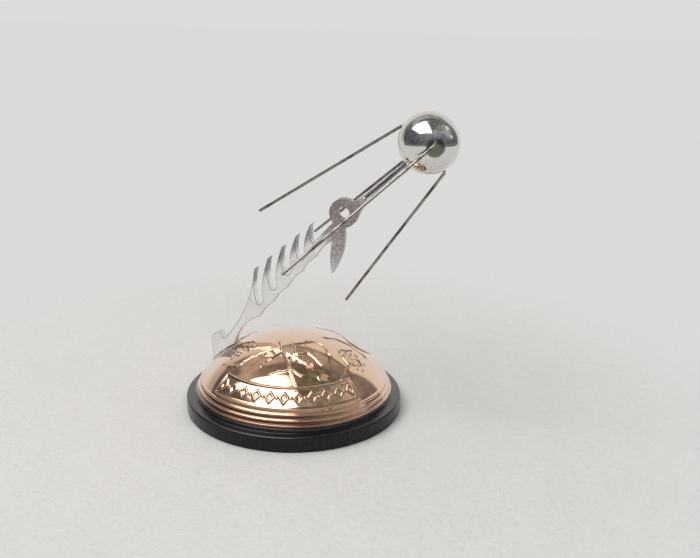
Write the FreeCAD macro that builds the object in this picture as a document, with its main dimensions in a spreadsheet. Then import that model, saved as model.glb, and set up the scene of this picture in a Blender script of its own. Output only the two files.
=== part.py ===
"""Desk model of a round satellite: a turned base, a domed globe, a flame-shaped strut and a
mirror ball with four whip antennas.

Frame, in millimetres: +Z up, the origin at the centre of the base's underside. The strut lies in
the XZ plane and rises towards +X; the front of the model faces -Y. Nothing moves: every piece is
pressed, screwed or cast in place.
"""
import FreeCAD
import Part
import Sketcher
import math
import os
import re

from FreeCAD import Placement, Rotation, Vector

# ---------------------------------------------------------------- driving sizes
# alias, value in millimetres (degrees where the name says so), meaning
SIZES = (
    ("base_radius", 33.95, "turned black disc"),
    ("base_height", 4.75, "height of the disc's rim"),
    ("base_round", 0.6, "rounding of the rim's top edge"),
    ("base_bevel", 0.3, "bevel of the rim's lower edge"),
    ("seat_margin", 0.4, "raised land that carries the dome, outside the dome's foot"),
    ("seat_height", 1.3, "rise of that land above the rim"),
    ("recess_radius", 27.0, "shallow recess in the underside"),
    ("recess_depth", 2.2, "depth of that recess"),
    ("dome_radius", 30.7, "dome at its foot"),
    ("dome_height", 17.4, "dome above its foot"),
    ("crown_radius", 39.0, "ball that the dome's crown is part of"),
    ("crown_spread_deg", 32.0, "slope at which the crown gives way to the tighter shoulder"),
    ("dome_wall", 2.4, "thickness of the cast dome"),
    ("bead_radius", 0.62, "half-round beads about the dome's foot"),
    ("bead_pitch", 1.42, "height from one bead to the next"),
    ("bead_start", 0.72, "first bead above the dome's foot"),
    ("panel_low", 4.75, "lower edge of the raised panel above the dome's foot"),
    ("panel_high", 9.4, "upper edge of the raised panel above the dome's foot"),
    ("panel_rise", 0.35, "how far the panel stands out"),
    ("panel_middle_deg", -79.0, "middle of the panel, about +Z from +X"),
    ("panel_sweep_deg", 101.0, "how far the panel reaches about the dome"),
    ("boss_radius", 5.0, "boss under the crown that takes the screw"),
    ("boss_length", 12.0, "boss below the crown"),
    ("screw_radius", 2.0, "clamp screw's shank"),
    ("screw_gap", 0.12, "clearance about the shank"),
    ("screw_grip", 7.0, "shank inside the boss"),
    ("screw_hole_end", 1.0, "hole beyond the shank's end"),
    ("screw_head_radius", 3.9, "clamp screw's head"),
    ("screw_head_height", 1.5, "height of that head"),
    ("slot_width", 0.9, "screwdriver slot"),
    ("slot_depth", 0.8, "depth of that slot"),
    # the strut's places run inwards and up from its foot's outer corner on the dome
    ("strut_thickness", 3.0, "plate that the strut is made of"),
    ("foot_inset", 3.5, "from the dome's rim in to the strut's outer corner"),
    ("foot_width", 7.7, "strut's foot along the dome"),
    ("foot_height", 8.78, "outer shoulder of the foot"),
    ("foot_gap", 0.12, "joint line between the foot and the dome"),
    ("foot_trim", 2.0, "plate below the foot that the dome's curve trims away"),
    ("heel_run", 2.6, "small pointed heel on the foot"),
    ("heel_rise", 10.48, "height of that heel"),
    ("notch_run", 4.1, "notch between the heel and the leg"),
    ("notch_rise", 7.88, "height of that notch"),
    ("leg_bow", 2.2, "how far the leg's outer edge bows"),
    ("leg_hollow", 1.8, "how far the leg's inner edge is hollowed"),
    ("knee_run", 15.2, "where the leg turns into the straight spine"),
    ("knee_rise", 18.18, "height of that turn"),
    ("spine_width", 3.5, "width of the straight spine"),
    ("spine_drop", 2.0, "how far under the ring's centre the spine points"),
    ("scallop_depth", 0.5, "depth of the hollows under the spine"),
    ("tongue_run", 14.6, "tip of the first tongue"),
    ("tongue_rise", 32.18, "height of the first tip"),
    ("tongue_pitch", 4.5, "step from one tongue to the next"),
    ("tongue_climb", 3.9, "rise from one tip to the next"),
    ("tongue_width", 2.7, "tongue at its root"),
    ("tongue_lean", 0.6, "how far a tip leans past its root"),
    ("tongue_tip", 0.5, "width of a tongue's slanted end"),
    ("tongue_tip_rise", 0.3, "rise of that end over its width"),
    ("tongue_curl", 0.7, "how far a tongue's edges curve"),
    ("gap_sag", 0.4, "sag of the round between two tongues, over its width"),
    ("ring_run", 42.7, "centre of the ring boss"),
    ("ring_rise", 51.98, "height of that centre"),
    ("ring_radius", 4.35, "outside of the ring"),
    ("ring_hole_radius", 1.9, "hole through the ring"),
    ("leaf_length", 19.2, "leaf fin under the ring, from the ring's centre to its tip"),
    ("leaf_width", 3.7, "widest part of the leaf fin"),
    ("leaf_spread_deg", 38.5, "angle of the leaf fin to the bar"),
    ("bar_radius", 1.3, "round bar that carries the ball"),
    ("bar_drop", 1.1, "how far the bar runs below the line from the ring to the ball"),
    ("ring_lap", 1.5, "how far the neck and the bar reach in from the ring's rim"),
    ("neck_length", 8.0, "flare from the ring to the bar"),
    ("neck_width", 4.8, "flare where it leaves the ring"),
    ("neck_hollow", 0.35, "how far the flare's sides are hollowed"),
    ("peg_radius", 1.3, "peg under the strut's foot"),
    ("peg_gap", 0.1, "clearance about that peg"),
    ("peg_length", 5.0, "peg below the dome's surface"),
    ("peg_root", 1.5, "peg above the foot, inside the plate"),
    ("ball_run", 67.0, "centre of the ball"),
    ("ball_rise", 73.98, "height of that centre"),
    ("ball_radius", 8.9, "mirror ball"),
    ("bar_grip", 5.0, "bar inside the ball"),
    ("socket_gap", 0.05, "clearance about the bar and wires in the ball"),
    ("wire_radius", 0.45, "antenna wire"),
    ("wire_length", 54.6, "straight run of an antenna, from its bend"),
    ("wire_grip", 2.5, "antenna inside the ball"),
    ("wire_stand_off", 0.86, "where the wire bends, outside the ball"),
    ("wire_bend", 1.0, "radius of that bend"),
    ("pattern_rise_deg", 43.8, "rise of the line that the antennas are set about"),
)

TONGUES = 5
BEADS = 3

# Antennas, bent by hand and so all a little different. In degrees: clock is the turn about the
# pattern's line from the front, lag is how far behind the ball's waist the wire leaves, splay is
# its angle away from the line and lean its sideways angle. Spare is in millimetres, how much
# longer than the others the wire was cut.
ANTENNAS = (
    # name, clock, lag, splay, lean, spare
    ("antenna_upper", 109.5, 18.2, 11.7, 1.1, 0.0),
    ("antenna_rear", 177.4, 8.5, 16.2, -1.7, 0.0),
    ("antenna_front", -9.7, -21.8, 26.8, 5.3, 0.7),
    ("antenna_lower", -99.2, 14.0, 12.6, -5.5, -0.9),
)

SEAT_TOP = "(base_height + seat_height)"

doc = FreeCAD.newDocument("satellite_desk_model")


# ---------------------------------------------------------------- sheet and helpers
def make_sheet():
    """The driving sizes, one to a row: name, value and meaning."""
    made = doc.addObject("Spreadsheet::Sheet", "sizes")
    for row, (alias, value, meaning) in enumerate(SIZES, start=1):
        made.set(f"A{row}", alias)
        made.set(f"B{row}", str(value))
        made.set(f"C{row}", meaning)
        made.setAlias(f"B{row}", alias)
    doc.recompute()
    return made


sheet = make_sheet()


def size(alias):
    """A driving size as a number, for shapes that are worked out in code."""
    return float(sheet.get(alias))


def formula(text):
    """A formula with the sheet's name before every driving size."""
    aliases = {row[0] for row in SIZES}
    return re.sub(r"[a-z_]+", lambda found: (
        "sizes." + found.group() if found.group() in aliases else found.group()), text)


def bind(thing, **formulas):
    """Tie properties to the sheet; a dot in a property's path is written as two underscores."""
    for path, text in formulas.items():
        thing.setExpression(path.replace("__", "."), formula(text))
    return thing


def primitive(kind, name, **formulas):
    return bind(doc.addObject("Part::" + kind, name), **formulas)


def feature(name, shape):
    """A shape that code works out from the sheet."""
    thing = doc.addObject("Part::Feature", name)
    thing.Shape = shape
    return thing


def fuse(name, *pieces):
    thing = doc.addObject("Part::MultiFuse", name)
    thing.Shapes = list(pieces)
    thing.Refine = True
    return thing


def cut(name, stock, tool):
    thing = doc.addObject("Part::Cut", name)
    thing.Base = stock
    thing.Tool = tool
    return thing


def along(direction):
    """The turn that takes +Z to a direction."""
    return Rotation(Vector(0, 0, 1), direction)


# ---------------------------------------------------------------- base
def circle_sketch(owner, name, radius):
    """A circle about Z on the body's level plane, its radius tied to the sheet."""
    plane = [f for f in owner.Origin.OriginFeatures if f.Role == "XY_Plane"][0]
    sketch = owner.newObject("Sketcher::SketchObject", name)
    sketch.AttachmentSupport = [(plane, "")]
    sketch.MapMode = "FlatFace"
    sketch.addGeometry(Part.Circle(Vector(0, 0, 0), Vector(0, 0, 1), 10), False)
    sketch.addConstraint(Sketcher.Constraint("Coincident", 0, 3, -1, 1))
    sketch.addConstraint(Sketcher.Constraint("Radius", 0, 10))
    sketch.setExpression("Constraints[1]", formula(radius))
    return sketch


def circle_edges(shape, radius, height):
    """Names of the round edges about Z with this radius at this height."""
    names = []
    for number, edge in enumerate(shape.Edges, start=1):
        curve = edge.Curve
        if not isinstance(curve, Part.Circle):
            continue
        if abs(curve.Radius - radius) < 1e-6 and abs(curve.Center.z - height) < 1e-6:
            names.append(f"Edge{number}")
    return names


def make_base():
    """Turned disc with a raised land for the dome, a recess below and a hole for the screw."""
    body = doc.addObject("PartDesign::Body", "base")
    rim = body.newObject("PartDesign::Pad", "base_rim")
    rim.Profile = circle_sketch(body, "rim_circle", "base_radius")
    bind(rim, Length="base_height")
    land = body.newObject("PartDesign::Pad", "base_land")
    land.Profile = circle_sketch(body, "land_circle", "dome_radius + seat_margin")
    bind(land, Length=SEAT_TOP)
    doc.recompute()
    for name, radius, depth in (
        ("recess", "recess_radius", "recess_depth"),
        ("screw_hole", "screw_radius + screw_gap", "2 * " + SEAT_TOP),
    ):
        pocket = body.newObject("PartDesign::Pocket", "base_" + name)
        pocket.Profile = circle_sketch(body, name + "_circle", radius)
        pocket.Reversed = True
        bind(pocket, Length=depth)
        before = body.Shape.Volume
        doc.recompute()
        if body.Shape.Volume > before - 1:
            raise RuntimeError(f"the base's {name} cuts nothing")
    bored = body.Tip
    rounded = body.newObject("PartDesign::Fillet", "base_top_round")
    rounded.Base = (bored, circle_edges(bored.Shape, size("base_radius"), size("base_height")))
    bind(rounded, Radius="base_round")
    doc.recompute()
    bevel = body.newObject("PartDesign::Chamfer", "base_bottom_bevel")
    bevel.Base = (rounded, circle_edges(rounded.Shape, size("base_radius"), 0))
    bind(bevel, Size="base_bevel")
    return body


# ---------------------------------------------------------------- clamp screw
def make_clamp_screw():
    """Slotted screw from the recess, through the base, into the dome's boss."""
    shank_top = f"({SEAT_TOP} + dome_height - boss_length + screw_grip)"
    shank = primitive(
        "Cylinder", "screw_shank", Radius="screw_radius",
        Height=shank_top + " - recess_depth", Placement__Base__z="recess_depth")
    head = primitive(
        "Cylinder", "screw_head", Radius="screw_head_radius", Height="screw_head_height",
        Placement__Base__z="recess_depth - screw_head_height")
    slot = primitive(
        "Box", "screw_slot", Length="4 * screw_head_radius", Width="slot_width",
        Height="2 * slot_depth", Placement__Base__x="-2 * screw_head_radius",
        Placement__Base__y="-slot_width / 2",
        Placement__Base__z="recess_depth - screw_head_height - slot_depth")
    return cut("clamp_screw", fuse("screw_blank", shank, head), slot)


# ---------------------------------------------------------------- dome
class DomeCurve:
    """The dome's outline, grown by an offset: a crown arc, then a tighter shoulder arc.

    The crown's centre is on the axis. The shoulder leaves it without a break where the slope is
    crown_spread, and its radius follows from the foot, which it has to meet.
    """

    def __init__(self, grown=0.0):
        tilt = math.radians(size("crown_spread_deg"))
        self.out = Vector(math.sin(tilt), 0, math.cos(tilt))
        crown, reach = size("crown_radius"), size("dome_radius")
        sink = crown - size("dome_height")
        shift = (crown ** 2 - reach ** 2 - sink ** 2) / (
            2 * (crown - reach * self.out.x - sink * self.out.z))
        self.foot = size("base_height") + size("seat_height")
        self.tilt = tilt
        self.crown_centre = Vector(0, 0, self.foot - sink)
        self.shoulder_centre = self.crown_centre + self.out * shift
        self.crown_radius = crown + grown
        self.shoulder_radius = crown - shift + grown
        self.joint = self.crown_centre + self.out * self.crown_radius

    def at_height(self, height):
        """The shoulder's point at a height above the dome's foot."""
        z = self.foot + height
        run = math.sqrt(self.shoulder_radius ** 2 - (z - self.shoulder_centre.z) ** 2)
        return Vector(self.shoulder_centre.x + run, 0, z)

    def at_reach(self, x):
        """The outline's point at a distance from the axis, and the way out of it."""
        centre, radius = self.crown_centre, self.crown_radius
        if x > self.joint.x:
            centre, radius = self.shoulder_centre, self.shoulder_radius
        place = Vector(x, 0, centre.z + math.sqrt(radius ** 2 - (x - centre.x) ** 2))
        return place, (place - centre).normalize()

    def shoulder_arc(self, one, two):
        """The shoulder's arc between two of its points."""
        middle = (one + two) / 2 - self.shoulder_centre
        middle = self.shoulder_centre + middle.normalize() * self.shoulder_radius
        return Part.Arc(one, middle, two).toShape()

    def crown_arc(self):
        half = Vector(math.sin(self.tilt / 2), 0, math.cos(self.tilt / 2)) * self.crown_radius
        top = self.crown_centre + Vector(0, 0, self.crown_radius)
        return Part.Arc(top, self.crown_centre + half, self.joint).toShape()


def turned(name, edges, corners, start=0, sweep=360):
    """A solid turned about the axis from a profile of edges, closed by lines through corners."""
    lines = [Part.makeLine(one, two) for one, two in zip(corners[:-1], corners[1:])]
    profile = Part.Face(Part.Wire(edges + lines))
    profile.rotate(Vector(0, 0, 0), Vector(0, 0, 1), start)
    return feature(name, profile.revolve(Vector(0, 0, 0), Vector(0, 0, 1), sweep))


def dome_cap(name, grown, low):
    """The dome's outline grown by an offset, filled down to a height above the foot."""
    curve = DomeCurve(grown)
    foot = curve.at_height(low)
    top = curve.crown_centre + Vector(0, 0, curve.crown_radius)
    return turned(name, [curve.crown_arc(), curve.shoulder_arc(curve.joint, foot)],
                  [foot, Vector(0, 0, foot.z), top])


def on_dome(x):
    """The point of the dome's plain outside at x on the strut's plane, and the way out of it."""
    place, out = DomeCurve().at_reach(abs(x))
    side = math.copysign(1, x)
    return Vector(place.x * side, 0, place.z), Vector(out.x * side, 0, out.z)


def foot_corner_x():
    return size("foot_inset") - size("dome_radius")


def peg_axis():
    """Where the strut's peg meets the dome, and the way it points out."""
    return on_dome(foot_corner_x() + size("foot_width") / 2)


def make_dome():
    """Cast cap with three beads at its foot, a raised panel in front and a boss inside."""
    cap = dome_cap("dome_outside", 0, -1)
    beads = []
    for count in range(BEADS):
        height = f"(bead_start + {count} * bead_pitch)"
        beads.append(primitive(
            "Torus", f"dome_bead_{count + 1}",
            Radius1=str(DomeCurve().at_height(size("bead_start") + count * size("bead_pitch")).x),
            Radius2="bead_radius", Placement__Base__z=f"{SEAT_TOP} + {height}"))
    curve, sweep = DomeCurve(size("panel_rise")), size("panel_sweep_deg")
    high, low = curve.at_height(size("panel_high")), curve.at_height(size("panel_low"))
    panel = turned(
        "dome_panel", [curve.shoulder_arc(high, low)],
        [low, Vector(0, 0, low.z), Vector(0, 0, high.z), high],
        size("panel_middle_deg") - sweep / 2, sweep)
    outside = fuse("dome_casting", cap, panel, *beads)
    below = primitive(
        "Box", "dome_below", Length="4 * dome_radius", Width="4 * dome_radius",
        Height="4 * dome_radius", Placement__Base__x="-2 * dome_radius",
        Placement__Base__y="-2 * dome_radius", Placement__Base__z=SEAT_TOP + " - 4 * dome_radius")
    inside = dome_cap("dome_inside", -size("dome_wall"), -2)
    hollow = cut("dome_shell", cut("dome_cap", outside, below), inside)
    boss = primitive(
        "Cylinder", "dome_boss", Radius="boss_radius", Height="boss_length - dome_wall / 2",
        Placement__Base__z=f"{SEAT_TOP} + dome_height - boss_length")
    screw_hole = primitive(
        "Cylinder", "dome_screw_hole", Radius="screw_radius + screw_gap",
        Height="boss_length + screw_grip + screw_hole_end",
        Placement__Base__z=f"{SEAT_TOP} + dome_height - 2 * boss_length")
    peg_place, peg_out = peg_axis()
    peg_hole = primitive(
        "Cylinder", "dome_peg_hole", Radius="peg_radius + peg_gap", Height="4 * dome_wall")
    peg_hole.Placement = Placement(peg_place - peg_out * 2 * size("dome_wall"), along(peg_out))
    holes = fuse("dome_holes", screw_hole, peg_hole)
    return cut("dome", fuse("dome_with_boss", hollow, boss), holes)


# ---------------------------------------------------------------- strut
def flat(x, z):
    """A point of the strut's plane."""
    return Vector(x, 0, z)


def from_foot(run, rise):
    """A place on the strut, from its foot's outer corner on the dome."""
    return on_dome(foot_corner_x())[0] + flat(run, rise)


def bowed(start, end, bow):
    """Arc from start to end whose middle stands off the chord; a positive bow is to the left."""
    chord = end - start
    left = flat(-chord.z, chord.x).normalize()
    middle = (start + end) * 0.5 + left * bow
    return Part.Arc(start, middle, end).toShape()


def line(start, end):
    return Part.LineSegment(start, end).toShape()


def plate(name, edges):
    """A flat piece of the strut, centred on the strut's plane."""
    thickness = size("strut_thickness")
    face = Part.Face(Part.Wire(edges))
    face.translate(Vector(0, -thickness / 2, 0))
    return feature(name, face.extrude(Vector(0, thickness, 0)))


def ring_centre():
    return from_foot(size("ring_run"), size("ring_rise"))


def ball_centre():
    return from_foot(size("ball_run"), size("ball_rise"))


def spine_line():
    """Middle of the spine: its start at the knee, its direction and the way up from it."""
    knee = from_foot(size("knee_run"), size("knee_rise"))
    heading = (ring_centre() - flat(0, size("spine_drop")) - knee).normalize()
    return knee, heading, flat(-heading.z, heading.x)


def spine_edge(x, side):
    """The spine's upper (side 1) or lower (side -1) edge at a place along X."""
    knee, heading, up = spine_line()
    start = knee + up * (side * size("spine_width") / 2)
    return start + heading * ((x - start.x) / heading.x)


def tongue(count):
    """A tongue's left root on the spine, its tip and its right root."""
    step = flat(size("tongue_pitch"), size("tongue_climb"))
    tip = from_foot(size("tongue_run"), size("tongue_rise")) + step * count
    root = tip.x - size("tongue_lean")
    half_root = size("tongue_width") / 2
    return spine_edge(root - half_root, 1), tip, spine_edge(root + half_root, 1)


def tongue_edges():
    """The comb of tongues from the first tip to the last root; the first grows from the leg."""
    slant = flat(size("tongue_tip"), size("tongue_tip_rise"))
    curl = size("tongue_curl")
    edges = []
    for count in range(TONGUES):
        left_root, tip, right_root = tongue(count)
        if count:
            last_root = tongue(count - 1)[2]
            sag = size("gap_sag") * (left_root - last_root).Length
            edges.append(bowed(last_root, left_root, -sag))
            edges.append(bowed(left_root, tip, curl))
        edges.append(line(tip, tip + slant))
        edges.append(bowed(tip + slant, right_root, -curl))
    return edges


def strut_outline():
    """Foot, leg, tongues and scalloped spine, clockwise from the foot's outer corner."""
    corner, corner_out = on_dome(foot_corner_x())
    shoulder = from_foot(0, size("foot_height"))
    heel = from_foot(size("heel_run"), size("heel_rise"))
    notch = from_foot(size("notch_run"), size("notch_rise"))
    first_tip = tongue(0)[1]
    edges = [line(corner, shoulder), line(shoulder, heel), line(heel, notch)]
    edges.append(bowed(notch, first_tip, -size("leg_bow")))

    knee, heading, up = spine_line()
    reach = heading * (ring_centre().x - knee.x) / heading.x
    half = up * (size("spine_width") / 2)
    edges += tongue_edges()
    edges.append(line(tongue(TONGUES - 1)[2], knee + reach + half))
    edges.append(line(knee + reach + half, knee + reach - half))

    hollows = [knee - half]
    for count in range(TONGUES):
        hollows.append(spine_edge(hollows[-1].x + size("tongue_pitch"), -1))
    hollows.reverse()
    edges.append(line(knee + reach - half, hollows[0]))
    for start, end in zip(hollows, hollows[1:]):
        edges.append(bowed(start, end, -size("scallop_depth")))

    toe, toe_out = on_dome(corner.x + size("foot_width"))
    toe_root = toe - toe_out * size("foot_trim")
    corner_root = corner - corner_out * size("foot_trim")
    edges.append(bowed(hollows[-1], toe, -size("leg_hollow")))
    edges += [line(toe, toe_root), line(toe_root, corner_root), line(corner_root, corner)]
    return edges


def leaf_outline():
    """A leaf fin: two like arcs from the ring's hole to its tip, swept back under the spine."""
    toward_ball = bar_direction()
    backwards = math.atan2(-toward_ball.z, -toward_ball.x)
    angle = backwards + math.radians(size("leaf_spread_deg"))
    direction = flat(math.cos(angle), math.sin(angle))
    start = ring_centre() + direction * size("ring_hole_radius")
    tip = ring_centre() + direction * size("leaf_length")
    half = size("leaf_width") / 2
    return [bowed(start, tip, half), bowed(tip, start, half)]


def neck_outline():
    """The flare from the ring to the bar, with hollow sides."""
    direction = bar_direction()
    side = flat(-direction.z, direction.x)
    near = bar_start()
    far = ring_centre() + bar_fall() + direction * size("neck_length")
    wide = side * (size("neck_width") / 2)
    narrow = side * size("bar_radius")
    hollow = size("neck_hollow")
    return [
        bowed(near + wide, far + narrow, -hollow),
        line(far + narrow, far - narrow),
        bowed(far - narrow, near - wide, -hollow),
        line(near - wide, near + wide),
    ]


def bar_direction():
    return (ball_centre() - ring_centre()).normalize()


def bar_fall():
    """From the line between the ring and the ball down to the bar's own line."""
    direction = bar_direction()
    return flat(direction.z, -direction.x) * size("bar_drop")


def bar_start():
    """Where the neck and the bar begin, inside the ring."""
    inside = size("ring_radius") - size("ring_lap")
    return ring_centre() + bar_fall() + bar_direction() * inside


def bar_end():
    """The bar's end, at the bottom of its socket in the ball."""
    return ball_centre() + bar_fall() - bar_direction() * (size("ball_radius") - size("bar_grip"))


def make_strut():
    """Plate strut from the dome to the ball: foot and peg, tongues, ring, leaf fin and bar."""
    foot_cutter = dome_cap("strut_foot_cutter", size("foot_gap"), 0)
    blade = cut("strut_blade", plate("strut_plate", strut_outline()), foot_cutter)

    ring = primitive("Cylinder", "strut_ring", Radius="ring_radius", Height="strut_thickness")
    across = Rotation(Vector(1, 0, 0), -90)
    half = Vector(0, size("strut_thickness") / 2, 0)
    ring.Placement = Placement(ring_centre() - half, across)
    hole = primitive(
        "Cylinder", "strut_ring_hole", Radius="ring_hole_radius", Height="2 * strut_thickness")
    hole.Placement = Placement(ring_centre() - half * 2, across)

    leaf = plate("strut_leaf", leaf_outline())
    neck = plate("strut_neck", neck_outline())
    bar = primitive("Cylinder", "strut_bar", Radius="bar_radius")
    bar.Height = (bar_end() - bar_start()).Length
    bar.Placement = Placement(bar_start(), along(bar_direction()))

    peg_place, peg_out = peg_axis()
    peg = primitive(
        "Cylinder", "strut_peg", Radius="peg_radius", Height="peg_length + foot_gap + peg_root")
    peg.Placement = Placement(peg_place - peg_out * size("peg_length"), along(peg_out))
    return cut("strut", fuse("strut_solid", blade, ring, leaf, neck, bar, peg), hole)


# ---------------------------------------------------------------- ball and antennas
def antenna_places(clock, lag, splay, lean):
    """Where an antenna leaves the ball's centre line, and the way its long run points."""
    rise = math.radians(size("pattern_rise_deg"))
    ahead = Vector(math.cos(rise), 0, math.sin(rise))
    top = Vector(-math.sin(rise), 0, math.cos(rise))
    front = Vector(0, -1, 0)
    turn = math.radians(clock)
    outward = front * math.cos(turn) + top * math.sin(turn)
    sideways = top * math.cos(turn) - front * math.sin(turn)
    out = outward * math.cos(math.radians(lag)) - ahead * math.sin(math.radians(lag))
    run = outward * math.sin(math.radians(splay)) - ahead * math.cos(math.radians(splay))
    run = (run + sideways * math.tan(math.radians(lean))).normalize()
    return out, run


def make_ball(directions):
    """Polished ball with a blind socket for the bar and for each antenna."""
    ball = primitive("Sphere", "ball_blank", Radius="ball_radius")
    ball.Placement = Placement(ball_centre(), Rotation())
    bar_socket = primitive(
        "Cylinder", "ball_bar_socket", Radius="bar_radius + socket_gap", Height="ball_radius")
    bar_socket.Placement = Placement(bar_end(), along(-bar_direction()))
    sockets = [bar_socket]
    for name, out in directions:
        socket = primitive(
            "Cylinder", "socket_" + name, Radius="wire_radius + socket_gap",
            Height="2 * wire_grip")
        bottom = size("ball_radius") - size("wire_grip")
        socket.Placement = Placement(ball_centre() + out * bottom, along(out))
        sockets.append(socket)
    return cut("satellite_ball", ball, fuse("ball_sockets", *sockets))


def make_antenna(name, out, run, spare):
    """A wire from its socket, bent once just outside the ball and straight to its tip."""
    start = ball_centre() + out * (size("ball_radius") - size("wire_grip"))
    corner = ball_centre() + out * (size("ball_radius") + size("wire_stand_off"))
    tip = corner + run * (size("wire_length") + spare)
    turn = out.getAngle(run)
    bend = size("wire_bend")
    trim = bend * math.tan(turn / 2)
    bend_start = corner - out * trim
    bend_end = corner + run * trim
    inward = (run - out * out.dot(run)).normalize()
    bend_centre = bend_start + inward * bend
    toward_corner = (corner - bend_centre).normalize()
    arc = Part.Arc(bend_start, bend_centre + toward_corner * bend, bend_end).toShape()
    path = Part.Wire([line(start, bend_start), arc, line(bend_end, tip)])
    section = Part.Wire([Part.Circle(start, out, size("wire_radius")).toShape()])
    return feature(name, path.makePipeShell([section], True, False))


# ---------------------------------------------------------------- assembly
def main():
    nodes = [make_base(), make_clamp_screw(), make_dome(), make_strut()]
    directions = []
    for name, clock, lag, splay, lean, spare in ANTENNAS:
        out, run = antenna_places(clock, lag, splay, lean)
        directions.append((name, out))
        nodes.append(make_antenna(name, out, run, spare))
    nodes.append(make_ball(directions))
    doc.recompute()

    for thing in doc.Objects:
        if any(word in thing.State for word in ("Invalid", "Error")):
            raise RuntimeError(f"{thing.Name} did not build: {thing.State}")
    for node in nodes:
        if node.Shape.isNull() or not node.Shape.isValid():
            raise RuntimeError(f"{node.Name} has no valid shape")
        if len(node.Shape.Solids) != 1:
            raise RuntimeError(f"{node.Name} has {len(node.Shape.Solids)} solids")
    os.makedirs("parts", exist_ok=True)
    for node in nodes:
        node.Label = node.Name
        node.Shape.exportStep(f"parts/{node.Name}.step")
        box = node.Shape.BoundBox
        print(f"{node.Name}: {node.Shape.Volume:.1f} mm3, z {box.ZMin:.2f} to {box.ZMax:.2f}")


main()
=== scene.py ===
"""Looks of a desk model: a round satellite on a flame-shaped strut, a globe dome and a black disc.

Laid out as an add-on and run as a script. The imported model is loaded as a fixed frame, each
operator makes one piece or one group of like pieces around it, and everything is in metres in the
frame's own axes: +Z up, the strut in the XZ plane, the front facing -Y.
"""
import math

import bmesh  # noqa: E402
import bpy  # noqa: E402
import numpy as np  # noqa: E402
from bpy.props import FloatProperty, FloatVectorProperty, IntProperty, PointerProperty  # noqa: E402
from mathutils import Matrix, Vector  # noqa: E402


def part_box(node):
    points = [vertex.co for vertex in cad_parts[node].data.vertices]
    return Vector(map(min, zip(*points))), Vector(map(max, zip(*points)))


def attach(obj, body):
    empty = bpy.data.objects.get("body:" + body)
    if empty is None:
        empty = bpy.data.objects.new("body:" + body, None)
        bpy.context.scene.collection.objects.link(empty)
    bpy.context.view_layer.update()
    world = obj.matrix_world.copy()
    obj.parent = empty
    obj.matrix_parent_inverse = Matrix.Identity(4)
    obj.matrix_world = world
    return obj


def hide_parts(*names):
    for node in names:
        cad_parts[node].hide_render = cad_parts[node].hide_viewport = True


bl_info = {
    "name": "Satellite desk model",
    "version": (1, 0, 0),
    "blender": (4, 5, 0),
    "location": "3D View > Sidebar > Satellite",
    "description": "Builds the visible pieces of a satellite desk model around its packed frame",
    "category": "Object",
}

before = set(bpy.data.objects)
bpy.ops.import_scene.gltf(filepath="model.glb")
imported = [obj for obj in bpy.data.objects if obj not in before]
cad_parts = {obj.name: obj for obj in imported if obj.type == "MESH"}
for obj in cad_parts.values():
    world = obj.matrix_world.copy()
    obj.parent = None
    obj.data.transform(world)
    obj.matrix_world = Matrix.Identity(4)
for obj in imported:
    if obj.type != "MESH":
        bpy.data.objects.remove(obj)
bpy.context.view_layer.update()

MM = 0.001

# Lands on the dome's far side as round bumps that run together: azimuth about +Z and latitude on
# the dome's sphere in degrees, angular radius in degrees, weight
LANDS = (
    (34, 54, 7, 0.9),
    (52, 47, 12, 1.0),
    (76, 47, 13, 1.0),
    (96, 42, 13, 0.9),
    (148, 44, 12, 1.0),
    (166, 50, 8, 0.8),
)

# Coasts on the near side as raised lines, laid out freely: azimuth and latitude of their turns in
# degrees
COASTS = (
    ((-165, 60), (-155, 70), (-140, 65), (-130, 70)),
    ((-145, 50), (-130, 55), (-120, 65)),
    ((-115, 80), (-95, 70), (-105, 60)),
    ((-95, 55), (-80, 60), (-65, 55)),
    ((-75, 80), (-70, 70), (-50, 70), (-45, 60)),
    ((-40, 80), (-20, 75), (-25, 65)),
    ((-35, 50), (-20, 55), (-10, 65), (5, 60)),
    ((10, 75), (20, 65), (10, 50)),
)

# Rough country, as short raised strokes: azimuth and latitude of its middle, angular radius and
# the strokes' turn from east, in degrees
HILLS = (
    (-150, 60, 5, 70),
    (-110, 70, 5, 25),
    (-55, 65, 4, 20),
    (-5, 55, 7, 60),
    (80, 55, 8, 40),
    (150, 50, 7, -30),
)

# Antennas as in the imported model: name, clock, lag, splay and lean in degrees, and in
# millimetres how much longer than the others each was cut
ANTENNAS = (
    ("antenna_upper", 109.5, 18.2, 11.7, 1.1, 0.0),
    ("antenna_rear", 177.4, 8.5, 16.2, -1.7, 0.0),
    ("antenna_front", -9.7, -21.8, 26.8, 5.3, 0.7),
    ("antenna_lower", -99.2, 14.0, 12.6, -5.5, -0.9),
)

# Middle of the strut's ring and the bend of its spine, in metres
RING = (0.0155, 0.0, 0.063717)
KNEE = (-0.012, 0.0, 0.029917)

# Window panel, one metre up: its corners in metres to the right and towards the camera's side
WINDOW_HEIGHT = 1.0
WINDOW_CORNERS = ((-1.22, -0.22), (-0.07, -0.1), (0.22, 1.0), (-0.88, 0.86))

# Bright patches in the surroundings: turn from the camera's side, rise and reach in degrees, and
# colour
PATCHES = (
    (84, 31, 19, (0.42, 0.42, 0.42)),
    (97, 39, 9, (0.85, 0.85, 0.85)),
    (93, 16, 7, (1.0, 1.0, 1.0)),
    (22, 44, 15, (0.40, 0.43, 0.48)),
    (-12, 40, 22, (0.27, 0.28, 0.33)),
)


# ---------------------------------------------------------------- settings
def length(name, description, millimetres):
    """A length that a user may change, given in millimetres and kept in metres."""
    return FloatProperty(
        name=name, description=description, default=millimetres * MM, min=0.0,
        precision=5, unit="LENGTH", subtype="DISTANCE")


def angle(name, description, degrees):
    return FloatProperty(
        name=name, description=description, default=math.radians(degrees),
        unit="ROTATION", subtype="ANGLE")


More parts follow.
